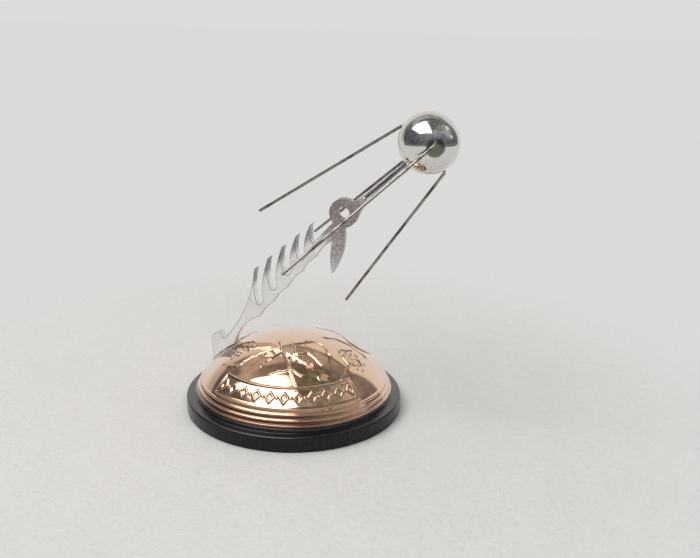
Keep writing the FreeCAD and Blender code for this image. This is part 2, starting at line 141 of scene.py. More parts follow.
def colour(name, description, value):
    return FloatVectorProperty(
        name=name, description=description, default=value, size=3, min=0.0, max=1.0,
        subtype="COLOR")


class BaseSettings(bpy.types.PropertyGroup):
    rim_height: length("Rim height", "Height of the disc's side wall", 4.75)
    land_radius: length("Land radius", "Raised land under the dome", 31.1)
    edge_round: length("Edge round", "Rounding of the rim's top edge", 0.6)
    foot_bevel: length("Foot bevel", "Bevel under the rim", 0.3)
    recess_radius: length("Recess radius", "Shallow recess in the underside", 27.0)
    recess_depth: length("Recess depth", "Depth of that recess", 2.2)
    hole_radius: length("Hole radius", "Hole for the clamp screw", 2.12)
    plastic: colour("Plastic", "Black moulding", (0.006, 0.006, 0.007))


class DomeSettings(bpy.types.PropertyGroup):
    radius: length("Foot radius", "Dome at its foot", 30.7)
    crown_radius: length("Crown radius", "Ball that the dome's crown is part of", 39.0)
    crown_spread: angle("Crown spread", "Slope at which the tighter shoulder begins", 32.0)
    wall: length("Wall", "Thickness of the casting", 2.4)
    bead_width: length("Bead width", "Half-width of the ridges about the foot", 0.46)
    bead_rise: length("Bead rise", "How far the ridges stand out", 0.42)
    bead_pitch: length("Bead pitch", "Height from one bead to the next", 1.42)
    bead_start: length("Bead start", "First bead above the foot", 0.5)
    beads: IntProperty(name="Beads", description="How many beads go about the foot", default=3)
    panel_low: length("Panel low edge", "Lower edge of the panel above the foot", 4.75)
    panel_high: length("Panel high edge", "Upper edge of the panel above the foot", 9.4)
    panel_middle: angle("Panel middle", "Middle of the panel about +Z from +X", -79.0)
    panel_sweep: angle("Panel sweep", "How far the panel reaches about the dome", 101.0)
    seam: length("Seam", "Height of the joint between the band and the globe", 10.7)
    line_rise: length("Line rise", "How far the raised lines stand out", 0.32)
    line_width: length("Line width", "Half-width of the raised lines", 0.27)
    metal: colour("Metal", "Polished rose gold", (0.93, 0.60, 0.395))
    glancing: colour("Glancing", "The metal's paler look at glancing angles", (0.93, 0.70, 0.54))
    # Dark colour for patina and for the painted shade on the relief and about the beads.
    shadow: colour("Hollows", "Dulled metal in the hollows of the relief", (0.15, 0.06, 0.04))


class StrutSettings(bpy.types.PropertyGroup):
    softening: length("Softened edges", "Width of the bevel along the plate's edges", 0.17)
    metal: colour("Metal", "Satin casting", (0.95, 0.945, 0.935))
    tarnish: colour("Tarnish", "Darkened skin about the ring and on the leaf",
                    (0.31, 0.245, 0.245))


class BallSettings(bpy.types.PropertyGroup):
    fillet_rise: length("Fillet rise", "Solder fillet about each wire", 0.3)
    fillet_width: length("Fillet width", "Reach of that fillet", 0.75)
    # The spot: a darker patch about each wire, set a little below it.
    spot_radius: length("Spot radius", "Heat-darkened spot about a wire", 2.8)
    metal: colour("Metal", "Mirror polish", (0.76, 0.75, 0.725))
    tarnish: colour("Spot", "Heat-darkened metal", (0.19, 0.19, 0.155))


class WireSettings(bpy.types.PropertyGroup):
    radius: length("Radius", "Antenna wire", 0.45)
    run: length("Run", "Straight run from the bend to the tip", 54.6)
    grip: length("Grip", "Wire inside the ball", 2.5)
    stand_off: length("Stand-off", "Where the wire bends, outside the ball", 0.86)
    bend: length("Bend", "Radius of that bend", 1.0)
    pattern_rise: angle("Pattern rise", "Rise of the line that the wires are set about", 43.8)
    metal: colour("Metal", "Dull drawn steel", (0.31, 0.285, 0.27))
    rust: colour("Stain", "Brown stain on the wire", (0.085, 0.05, 0.042))


class StageSettings(bpy.types.PropertyGroup):
    floor: colour("Floor", "Pale floor", (0.70, 0.685, 0.67))
    distance: colour("Distance", "Floor and wall far from the model", (0.72, 0.71, 0.695))
    room: colour("Room", "Dim lower room in front of the model, seen in its polish",
                 (0.145, 0.145, 0.163))
    room_high: colour("Upper room", "The room's upper part", (0.20, 0.195, 0.20))
    ceiling: colour("Ceiling", "Ceiling behind the model", (0.42, 0.40, 0.39))
    backdrop: colour("Backdrop", "Pale surroundings behind the model", (0.73, 0.72, 0.70))
    shade: colour("Shaded backdrop", "The same, on the left", (0.45, 0.43, 0.41))
    panel_light: FloatProperty(
        name="Panel light", description="Radiance of the soft light panel overhead", default=4.2)
    fill_light: FloatProperty(
        name="Fill light", description="Radiance of the wide lamp above, unseen in polish",
        default=0.75)
    camera_reach: length("Camera reach", "Level distance from the model's axis", 264.7)
    camera_height: length("Camera height", "Height over the floor", 125.3)
    camera_turn: angle("Camera turn", "Turn of the camera's place about +Z from -Y", 17.8)
    camera_pan: angle("Camera pan", "Turn of the view about +Z from +Y", -14.1)
    camera_pitch: angle("Camera pitch", "How far the view looks down", 17.53)
    camera_roll: angle("Camera roll", "Roll of the view", 1.17)
    lens: FloatProperty(
        name="Lens", description="Focal length in millimetres on a 36 mm sensor", default=46.29)


# ---------------------------------------------------------------- mesh helpers
def make_piece(name, vertices, quads, triangles=(), normals=None):
    """A smooth mesh piece from arrays of vertices, four-sided and three-sided faces."""
    faces = [tuple(face) for face in np.asarray(quads).reshape(-1, 4).tolist()]
    faces += [tuple(face) for face in np.asarray(triangles, int).reshape(-1, 3).tolist()]
    mesh = bpy.data.meshes.new(name)
    mesh.from_pydata(np.asarray(vertices, float).tolist(), [], faces)
    mesh.polygons.foreach_set("use_smooth", np.ones(len(faces), bool))
    mesh.update()
    if normals is not None:
        mesh.normals_split_custom_set_from_vertices(np.asarray(normals, float).tolist())
    piece = bpy.data.objects.new(name, mesh)
    bpy.context.scene.collection.objects.link(piece)
    return piece


def grid_quads(rows, columns, wrap_rows=False, wrap_columns=False, start=0):
    """Faces of a grid of vertices counted row by row, closed on itself where asked."""
    row = np.arange(rows if wrap_rows else rows - 1)[:, None]
    column = np.arange(columns if wrap_columns else columns - 1)[None, :]
    row_next, column_next = (row + 1) % rows, (column + 1) % columns
    corners = (row * columns + column, row * columns + column_next,
               row_next * columns + column_next, row_next * columns + column)
    return start + np.stack(corners, axis=-1).reshape(-1, 4)


def lathe(profile, steps):
    """Vertices of a profile (radius, height) turned about Z, one row to a profile point."""
    turn = np.linspace(0, 2 * math.pi, steps, endpoint=False)
    profile = np.asarray(profile, float)
    radius, height = profile[:, :1], profile[:, 1:]
    points = np.stack(
        (radius * np.cos(turn), radius * np.sin(turn), height + 0 * turn), axis=-1)
    return points.reshape(-1, 3)


def arc(centre, radius, start, end, count):
    """Points of a round arc in the profile's plane, angles in degrees."""
    turn = np.radians(np.linspace(start, end, count))
    return np.column_stack((centre[0] + radius * np.cos(turn), centre[1] + radius * np.sin(turn)))


def smooth_step(low, high, value):
    """Zero below low, one above high and an even S between them."""
    part = np.clip((value - low) / (high - low), 0, 1)
    return part * part * (3 - 2 * part)


def unit(vector):
    vector = np.asarray(vector, float)
    return vector / np.linalg.norm(vector, axis=-1, keepdims=True)


def on_globe(azimuth, latitude):
    """The direction with this azimuth and latitude, in degrees."""
    a, l = math.radians(azimuth), math.radians(latitude)
    return np.array((math.cos(l) * math.cos(a), math.cos(l) * math.sin(a), math.sin(l)))


def wave_set(seed, first, octaves, count=9, fall=0.55):
    """Seeded plane waves: each octave has twice the pitch of the one before and less height."""
    random = np.random.default_rng(seed)
    pitch = np.repeat(first * 2.0 ** np.arange(octaves), count)
    vectors = unit(random.normal(size=(octaves * count, 3))) * pitch[:, None]
    phases = random.uniform(0, 2 * math.pi, octaves * count)
    heights = np.repeat(fall ** np.arange(octaves), count) / math.sqrt(count)
    return vectors, phases, heights


def waves(points, chosen):
    """Sum of plane waves at the points, and its slope there."""
    vectors, phases, heights = chosen
    turn = points @ vectors.T + phases
    return np.sin(turn) @ heights, np.cos(turn) @ (heights[:, None] * vectors)


def attribute(piece, name, values):
    """One number to each vertex, for a material to read."""
    layer = piece.data.attributes.new(name, "FLOAT", "POINT")
    layer.data.foreach_set("value", np.asarray(values, np.float32))


def finish_piece(piece, slot, material, *nodes):
    """Gives a piece its finish and its body, and hides the CAD nodes that it stands for."""
    piece.data.materials.clear()
    piece.data.materials.append(material)
    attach(piece, "root")
    if nodes:
        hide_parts(*nodes)
    return piece


# ---------------------------------------------------------------- material helpers
class Nodes:
    """Short ways to add and join shader nodes in one tree."""

    def __init__(self, tree):
        self.tree = tree
        tree.nodes.clear()

    def add(self, kind, **settings):
        node = self.tree.nodes.new(kind)
        for name, value in settings.items():
            setattr(node, name, value)
        return node

    def put(self, socket, value):
        """Joins a socket to an output, or sets it to a plain value."""
        if isinstance(value, bpy.types.NodeSocket):
            self.tree.links.new(value, socket)
        elif socket.type == "RGBA" and len(value) == 3:
            socket.default_value = (*value, 1.0)
        else:
            socket.default_value = value

    def math(self, operation, first, second=0.0):
        node = self.add("ShaderNodeMath", operation=operation)
        self.put(node.inputs[0], first)
        self.put(node.inputs[1], second)
        return node.outputs[0]

    def times(self, first, second):
        return self.math("MULTIPLY", first, second)

    def plus(self, first, second):
        return self.math("ADD", first, second)

    def less(self, first, second):
        return self.math("SUBTRACT", first, second)

    def most(self, first, second):
        return self.math("MAXIMUM", first, second)

    def vector(self, operation, first, second=(0.0, 0.0, 0.0), scale=None):
        node = self.add("ShaderNodeVectorMath", operation=operation)
        self.put(node.inputs[0], first)
        self.put(node.inputs[1], second)
        if scale is not None:
            self.put(node.inputs["Scale"], scale)
        return node.outputs["Value" if operation in ("DOT_PRODUCT", "DISTANCE", "LENGTH") else 0]

    def span(self, value, low, high, to_low=0.0, to_high=1.0):
        """Maps low..high to to_low..to_high with an even S, clamped."""
        node = self.add("ShaderNodeMapRange", interpolation_type="SMOOTHSTEP")
        for name, number in (("Value", value), ("From Min", low), ("From Max", high),
                             ("To Min", to_low), ("To Max", to_high)):
            self.put(node.inputs[name], number)
        return node.outputs["Result"]

    def mix(self, part, first, second):
        node = self.add("ShaderNodeMix", data_type="RGBA")
        self.put(node.inputs["Factor"], part)
        self.put(node.inputs[6], first)
        self.put(node.inputs[7], second)
        return node.outputs[2]

    def noise(self, vector, scale, detail=2.0, roughness=0.5):
        node = self.add("ShaderNodeTexNoise")
        self.put(node.inputs["Vector"], vector)
        self.put(node.inputs["Scale"], scale)
        self.put(node.inputs["Detail"], detail)
        self.put(node.inputs["Roughness"], roughness)
        return node.outputs["Fac"]

    def place(self):
        return self.add("ShaderNodeTexCoord").outputs["Object"]

    def parts(self, vector):
        """The X, Y and Z of a vector."""
        node = self.add("ShaderNodeSeparateXYZ")
        self.put(node.inputs[0], vector)
        return node.outputs

    def bump(self, height, distance, strength=1.0, normal=None):
        node = self.add("ShaderNodeBump")
        self.put(node.inputs["Height"], height)
        self.put(node.inputs["Distance"], distance)
        self.put(node.inputs["Strength"], strength)
        if normal is not None:
            self.put(node.inputs["Normal"], normal)
        return node.outputs["Normal"]

    def use(self, group, **values):
        """Places a shared group and sets its inputs by name."""
        node = self.add("ShaderNodeGroup", node_tree=group)
        for name, value in values.items():
            self.put(node.inputs[name.replace("_", " ")], value)
        return node.outputs


def new_group(name, inputs, outputs):
    """An empty shader node group with named sockets: (name, kind, default)."""
    group = bpy.data.node_groups.new(name, "ShaderNodeTree")
    for label, kind, default in inputs:
        socket = group.interface.new_socket(label, in_out="INPUT", socket_type=kind)
        if default is not None:
            socket.default_value = default
    for label, kind in outputs:
        group.interface.new_socket(label, in_out="OUTPUT", socket_type=kind)
    nodes = Nodes(group)
    return group, nodes, nodes.add("NodeGroupInput").outputs, nodes.add("NodeGroupOutput").inputs


def shared_group(name):
    """A shared effect, built the first time that a material asks for it."""
    return bpy.data.node_groups.get(name) or GROUPS[name](name)


def build_scratches(name):
    """Fine scratches: thin bright bands of three stretched noises laid across each other."""
    group, nodes, given, result = new_group(
        name,
        (("Vector", "NodeSocketVector", None), ("Scale", "NodeSocketFloat", 900.0),
         ("Thinness", "NodeSocketFloat", 0.03)),
        (("Mask", "NodeSocketFloat"),))
    total = 0.0
    for turn in ((0.3, 0.7, 0.2), (1.6, 0.4, 1.1), (2.5, 1.9, 0.6)):
        turned = nodes.add("ShaderNodeMapping")
        nodes.put(turned.inputs["Vector"], given["Vector"])
        turned.inputs["Rotation"].default_value = turn
        turned.inputs["Scale"].default_value = (1.0, 0.06, 0.06)
        fine = nodes.noise(turned.outputs["Vector"], given["Scale"], 1.0)
        off = nodes.math("ABSOLUTE", nodes.less(fine, 0.5))
        line = nodes.span(off, 0.0, given["Thinness"], 1.0, 0.0)
        coarse = nodes.noise(
            turned.outputs["Vector"], nodes.times(given["Scale"], 0.11), 1.0)
        total = nodes.plus(total, nodes.times(line, nodes.span(coarse, 0.5, 0.62)))
    nodes.put(result["Mask"], nodes.math("MINIMUM", total, 1.0))
    return group


def build_grain(name):
    """Cast skin: small grains over a slow swell, as a height and as a patchy mask."""
    group, nodes, given, result = new_group(
        name,
        (("Vector", "NodeSocketVector", None), ("Scale", "NodeSocketFloat", 3000.0)),
        (("Height", "NodeSocketFloat"), ("Patches", "NodeSocketFloat")))
    cells = nodes.add("ShaderNodeTexVoronoi", feature="SMOOTH_F1")
    nodes.put(cells.inputs["Vector"], given["Vector"])
    nodes.put(cells.inputs["Scale"], given["Scale"])
    fine = nodes.noise(given["Vector"], given["Scale"], 3.0, 0.6)
    slow = nodes.noise(given["Vector"], nodes.times(given["Scale"], 0.1), 2.0)
    height = nodes.plus(nodes.times(cells.outputs["Distance"], 0.6), fine)
    nodes.put(result["Height"], nodes.plus(height, nodes.times(slow, 0.8)))
    nodes.put(result["Patches"], nodes.span(slow, 0.35, 0.65))
    return group


def build_dust(name):
    """Specks of dust that lie on faces turned upwards, more of them where the turn is level."""
    group, nodes, given, result = new_group(
        name,
        (("Vector", "NodeSocketVector", None), ("Scale", "NodeSocketFloat", 1600.0),
         ("Amount", "NodeSocketFloat", 0.3)),
        (("Mask", "NodeSocketFloat"),))
    cells = nodes.add("ShaderNodeTexVoronoi", feature="F1")
    nodes.put(cells.inputs["Vector"], given["Vector"])
    nodes.put(cells.inputs["Scale"], given["Scale"])
    speck = nodes.span(cells.outputs["Distance"], 0.06, 0.16, 1.0, 0.0)
    other = nodes.noise(given["Vector"], nodes.times(given["Scale"], 0.9), 0.0)
    chosen = nodes.span(other, 0.56, 0.6)
    facing = nodes.parts(nodes.add("ShaderNodeNewGeometry").outputs["Normal"])
    lying = nodes.span(facing["Z"], 0.3, 0.9)
    mask = nodes.times(nodes.times(speck, chosen), lying)
    nodes.put(result["Mask"], nodes.times(mask, given["Amount"]))
    return group


GROUPS = {"Fine scratches": build_scratches, "Cast grain": build_grain, "Dust specks": build_dust}


def new_material(name):
    """A material with a Principled shader, its helper and that shader's inputs."""
    material = bpy.data.materials.new(name)
    material.use_nodes = True
    nodes = Nodes(material.node_tree)
    shader = nodes.add("ShaderNodeBsdfPrincipled")
    output = nodes.add("ShaderNodeOutputMaterial")
    nodes.put(output.inputs["Surface"], shader.outputs[0])
    return material, nodes, shader.inputs


def plastic_material(settings):
    """Black satin moulding: turned rings on its faces, scratches and a little dust."""
    material, nodes, shader = new_material("Black satin moulding")
    place = nodes.place()
    scratches = nodes.use(shared_group("Fine scratches"), Vector=place, Scale=420.0,
                          Thinness=0.008)["Mask"]
    dust = nodes.use(shared_group("Dust specks"), Vector=place, Scale=900.0, Amount=0.6)["Mask"]
    parts = nodes.parts(place)
    radius = nodes.math("SQRT", nodes.plus(
        nodes.math("POWER", parts["X"], 2.0), nodes.math("POWER", parts["Y"], 2.0)))
    across = nodes.plus(radius, nodes.times(parts["Z"], 1.3))
    ring_place = nodes.add("ShaderNodeCombineXYZ")
    nodes.put(ring_place.inputs["X"], across)
    rings = nodes.noise(ring_place.outputs[0], 6000.0, 2.0, 0.7)
    patches = nodes.noise(place, 160.0, 3.0, 0.6)
    marked = nodes.mix(nodes.times(scratches, 0.3), settings.plastic,
                       (0.09, 0.088, 0.085))
    nodes.put(shader["Base Color"], nodes.mix(dust, marked, (0.45, 0.44, 0.42)))
    rough = nodes.plus(nodes.span(patches, 0.3, 0.7, 0.16, 0.24), nodes.times(scratches, 0.15))
    nodes.put(shader["Roughness"], nodes.plus(rough, nodes.times(dust, 0.4)))
    shader["Specular IOR Level"].default_value = 0.3
    top = nodes.span(parts["Z"], 4.3 * MM, 4.7 * MM)
    nodes.put(shader["Coat Weight"], nodes.times(top, 0.9))
    shader["Coat Roughness"].default_value = 0.25
    turned = nodes.bump(rings, 0.0000015)
    nodes.put(shader["Normal"], nodes.bump(scratches, 0.000006, 0.6, turned))
    return material


def rose_gold_material(settings):
    """Polished rose gold: darkened by an attribute, for patina and painted shade on the relief,
    fine scratches and a faint ripple.
    """
    material, nodes, shader = new_material("Polished rose gold")
    place = nodes.place()
    scratches = nodes.use(shared_group("Fine scratches"), Vector=place, Scale=600.0,
                          Thinness=0.012)["Mask"]
    patina_and_shade = nodes.add("ShaderNodeAttribute", attribute_name="patina_and_shade").outputs["Fac"]
    patches = nodes.noise(place, 90.0, 3.0, 0.6)
    facing = nodes.add("ShaderNodeLayerWeight").outputs["Facing"]
    tone = nodes.mix(nodes.span(patches, 0.35, 0.7, 0.0, 0.12), settings.metal,
                     (0.84, 0.50, 0.31))
    tone = nodes.mix(nodes.span(facing, 0.3, 0.75), tone, settings.glancing)
    # The attribute mixes in the dark colour: patina, and painted shade on the relief and about the
    # beads.
    nodes.put(shader["Base Color"], nodes.mix(patina_and_shade, tone, settings.shadow))
    shader["Metallic"].default_value = 1.0
    rough = nodes.plus(nodes.span(patches, 0.3, 0.7, 0.05, 0.08), nodes.times(scratches, 0.08))
    nodes.put(shader["Roughness"], nodes.plus(rough, nodes.times(patina_and_shade, 0.25)))
    shader["Coat Weight"].default_value = 0.8
    shader["Coat Roughness"].default_value = 0.04
    ripple = nodes.bump(nodes.noise(place, 240.0, 2.0), 0.00001)
    nodes.put(shader["Normal"], nodes.bump(scratches, 0.000003, 0.5, ripple))
    return material


def strut_material(settings, ring, spine_start, heading, edge=0.0):
    """Satin casting, grained, tarnished about the ring and on the leaf, with painted shade on the
    tongues' ends.

    The painted shade grows with the distance above the spine's line, the tarnish near the ring's
    centre. The bar past the ring is drawn: its marks run lengthwise. An edge material is darker all
    over: painted shade along the plate's outline.
    """
    # The edge material, painted in shade, goes on the narrow bevels.
    material, nodes, shader = new_material("Casting edge in painted shade" if edge else "Satin casting")
    place = nodes.place()
    grain = nodes.use(shared_group("Cast grain"), Vector=place, Scale=2600.0)
    from_start = nodes.vector("SUBTRACT", place, tuple(spine_start))
    above = nodes.vector("DOT_PRODUCT", from_start, (-heading[2], 0.0, heading[0]))
    along = nodes.vector("DOT_PRODUCT", from_start, tuple(heading))
    # Painted shade on the ends of the tongues: it grows upwards from the spine's line, over the
    # comb.
    on_comb = nodes.times(nodes.span(along, 0.0365, 0.031, 0.0, 1.0),
                          nodes.span(along, -0.002, 0.003))
    up_tongue = nodes.plus(above, nodes.times(along, 0.145))
    tip_shade = nodes.times(nodes.span(up_tongue, 0.0062, 0.0094), on_comb)
    ring_distance = nodes.vector("DISTANCE", place, tuple(ring))
    past_ring = nodes.span(along, 0.045, 0.049)
    near_ring = nodes.span(ring_distance, 0.0045, 0.0105, 1.0, 0.0)
    hangs = nodes.times(nodes.span(above, -0.0021, -0.0036), nodes.span(along, 0.0215, 0.0245))
    leaf = nodes.times(nodes.span(ring_distance, 0.008, 0.021, 0.82, 0.32),
                       nodes.most(hangs, nodes.span(along, 0.031, 0.0365)))
    leaf = nodes.times(leaf, nodes.less(1.0, past_ring))
    skin = nodes.most(near_ring, leaf)
    dark = nodes.most(nodes.times(tip_shade, 0.95), skin)
    pepper = nodes.span(nodes.noise(place, 2400.0, 2.0, 0.8), 0.36, 0.64, 0.55, 1.35)
    speckled = nodes.times(dark, pepper)
    drawn = nodes.add("ShaderNodeCombineXYZ")
    nodes.put(drawn.inputs["X"], nodes.times(along, 0.03))
    nodes.put(drawn.inputs["Y"], above)
    nodes.put(drawn.inputs["Z"], nodes.parts(place)["Y"])
    marks = nodes.noise(drawn.outputs[0], 1900.0, 2.0, 0.7)
    streaks = nodes.times(nodes.span(marks, 0.42, 0.62, 0.0, 0.75), past_ring)
    # Neutral dark grey for the painted shade on the tongues' ends and on the bevels, and for the
    # bar's drawn marks; the tarnish colour about the ring and on the leaf.
    tone = nodes.mix(skin, (0.235, 0.225, 0.225), settings.tarnish)
    amount = nodes.most(nodes.most(speckled, streaks), edge)
    nodes.put(shader["Base Color"], nodes.mix(
        nodes.math("MINIMUM", amount, 0.95), settings.metal, tone))
    shader["Metallic"].default_value = 1.0
    rough = nodes.plus(nodes.span(grain["Patches"], 0.0, 1.0, 0.26, 0.36), nodes.times(dark, 0.1))
    nodes.put(shader["Roughness"], nodes.times(rough, nodes.span(
        past_ring, 0.0, 1.0, 1.0, 0.45)))
    cast = nodes.times(grain["Height"], nodes.span(past_ring, 0.0, 1.0, 1.0, 0.02))
    height = nodes.plus(cast, nodes.times(marks, nodes.times(past_ring, 0.6)))
    nodes.put(shader["Normal"], nodes.bump(height, 0.00006, 0.8))
    return material


def mirror_material(settings):
    """Mirror polish with hairline scratches, small pits and a darker spot about each wire."""
    material, nodes, shader = new_material("Mirror polish")
    place = nodes.place()
    scratches = nodes.use(shared_group("Fine scratches"), Vector=place, Scale=1500.0,
                          Thinness=0.02)["Mask"]
    spot = nodes.add("ShaderNodeAttribute", attribute_name="spot").outputs["Fac"]
    cells = nodes.add("ShaderNodeTexVoronoi", feature="F1")
    nodes.put(cells.inputs["Vector"], place)
    cells.inputs["Scale"].default_value = 700.0
    pit = nodes.times(nodes.span(cells.outputs["Distance"], 0.08, 0.2, 1.0, 0.0),
                      nodes.span(nodes.noise(place, 300.0, 1.0), 0.67, 0.75))
    marked = nodes.most(spot, nodes.times(pit, 0.85))
    nodes.put(shader["Base Color"], nodes.mix(marked, settings.metal,
                                              settings.tarnish))
    shader["Metallic"].default_value = 1.0
    rough = nodes.plus(nodes.span(nodes.noise(place, 300.0, 3.0), 0.3, 0.7, 0.05, 0.10),
                       nodes.times(scratches, 0.08))
    nodes.put(shader["Roughness"], nodes.plus(rough, nodes.times(marked, 0.2)))
    pitted = nodes.bump(nodes.less(1.0, pit), 0.00003, 0.8)
    nodes.put(shader["Normal"], nodes.bump(scratches, 0.000002, 0.4, pitted))
    return material


def wire_material(settings):
    """Drawn steel: lengthwise draw marks and brown stain, both on the wire's own UV map."""
    material, nodes, shader = new_material("Drawn steel wire")
    place = nodes.add("ShaderNodeUVMap", uv_map="run").outputs["UV"]
    stretched = nodes.add("ShaderNodeMapping")
    nodes.put(stretched.inputs["Vector"], place)
    stretched.inputs["Scale"].default_value = (60.0, 5200.0, 1.0)
    draw = nodes.noise(stretched.outputs["Vector"], 1.0, 3.0, 0.6)
    stain = nodes.span(nodes.noise(place, 130.0, 4.0, 0.65), 0.46, 0.62)
    fine = nodes.noise(place, 2600.0, 3.0, 0.7)
    tone = nodes.mix(nodes.span(draw, 0.3, 0.7, 0.0, 0.4), settings.metal,
                     (0.62, 0.60, 0.58))
    nodes.put(shader["Base Color"], nodes.mix(
        nodes.times(stain, nodes.span(fine, 0.35, 0.6, 0.45, 0.95)), tone,
        settings.rust))
    shader["Metallic"].default_value = 1.0
    nodes.put(shader["Roughness"], nodes.plus(
        nodes.span(draw, 0.3, 0.7, 0.22, 0.34), nodes.times(stain, 0.16)))
    nodes.put(shader["Normal"], nodes.bump(
        nodes.plus(draw, nodes.times(fine, 0.5)), 0.000008, 0.7))
    return material


def screw_material():
    """Plain machined steel with turning marks and a few scratches."""
    material, nodes, shader = new_material("Machined steel")
    place = nodes.place()
    scratches = nodes.use(shared_group("Fine scratches"), Vector=place, Scale=1600.0,
                          Thinness=0.03)["Mask"]
    patches = nodes.noise(place, 500.0, 3.0, 0.6)
    nodes.put(shader["Base Color"], nodes.mix(
        nodes.span(patches, 0.3, 0.7), (0.50, 0.50, 0.51), (0.62, 0.61, 0.60)))
    shader["Metallic"].default_value = 1.0
    nodes.put(shader["Roughness"], nodes.plus(
        nodes.span(patches, 0.3, 0.7, 0.25, 0.4), nodes.times(scratches, 0.2)))
    nodes.put(shader["Normal"], nodes.bump(scratches, 0.000005, 0.6))
    return material


# ---------------------------------------------------------------- base
class SATELLITE_OT_base(bpy.types.Operator):
    """Make the turned black disc"""
    bl_idname = "satellite.base"
    bl_label = "Base"

    steps: IntProperty(name="Steps", description="Steps around the disc", default=288)

    def execute(self, context):
        settings = context.scene.satellite_base
        _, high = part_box("base")
        rim, top = high.x, high.z
        edge, bevel = settings.edge_round, settings.foot_bevel
        fine = 0.12 * MM
        land = settings.land_radius
        recess, hole = settings.recess_radius, settings.hole_radius
        depth, shoulder = settings.recess_depth, settings.rim_height
        profile = np.vstack((
            arc((recess + fine, fine), fine, 180, 270, 4),
            arc((rim - bevel, bevel), bevel, -90, 0, 6),
            arc((rim - edge, shoulder - edge), edge, 0, 90, 12),
            ((0.5 * (rim + land), shoulder),),
            arc((land + fine, shoulder + fine), fine, 270, 180, 4),
            arc((land - 2 * fine, top - 2 * fine), 2 * fine, 0, 90, 6),
            ((0.5 * land, top), (hole + fine, top)),
            arc((hole + fine, top - fine), fine, 90, 180, 4),
            arc((hole + fine, depth + fine), fine, 180, 270, 4),
            arc((recess - fine, depth - fine), fine, 90, 0, 4),
        ))
        quads = grid_quads(len(profile), self.steps, wrap_rows=True, wrap_columns=True)
        piece = make_piece("base_disc", lathe(profile, self.steps), quads)
        piece.data.set_sharp_from_angle(angle=math.radians(40))
        finish_piece(piece, "black_base", plastic_material(settings), "base")
        return {"FINISHED"}


class SATELLITE_OT_screw(bpy.types.Operator):
    """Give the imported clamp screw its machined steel"""
    bl_idname = "satellite.screw"
    bl_label = "Clamp screw"

    def execute(self, context):
        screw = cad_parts["clamp_screw"]
        screw.data.materials.clear()
        screw.data.materials.append(screw_material())
        return {"FINISHED"}


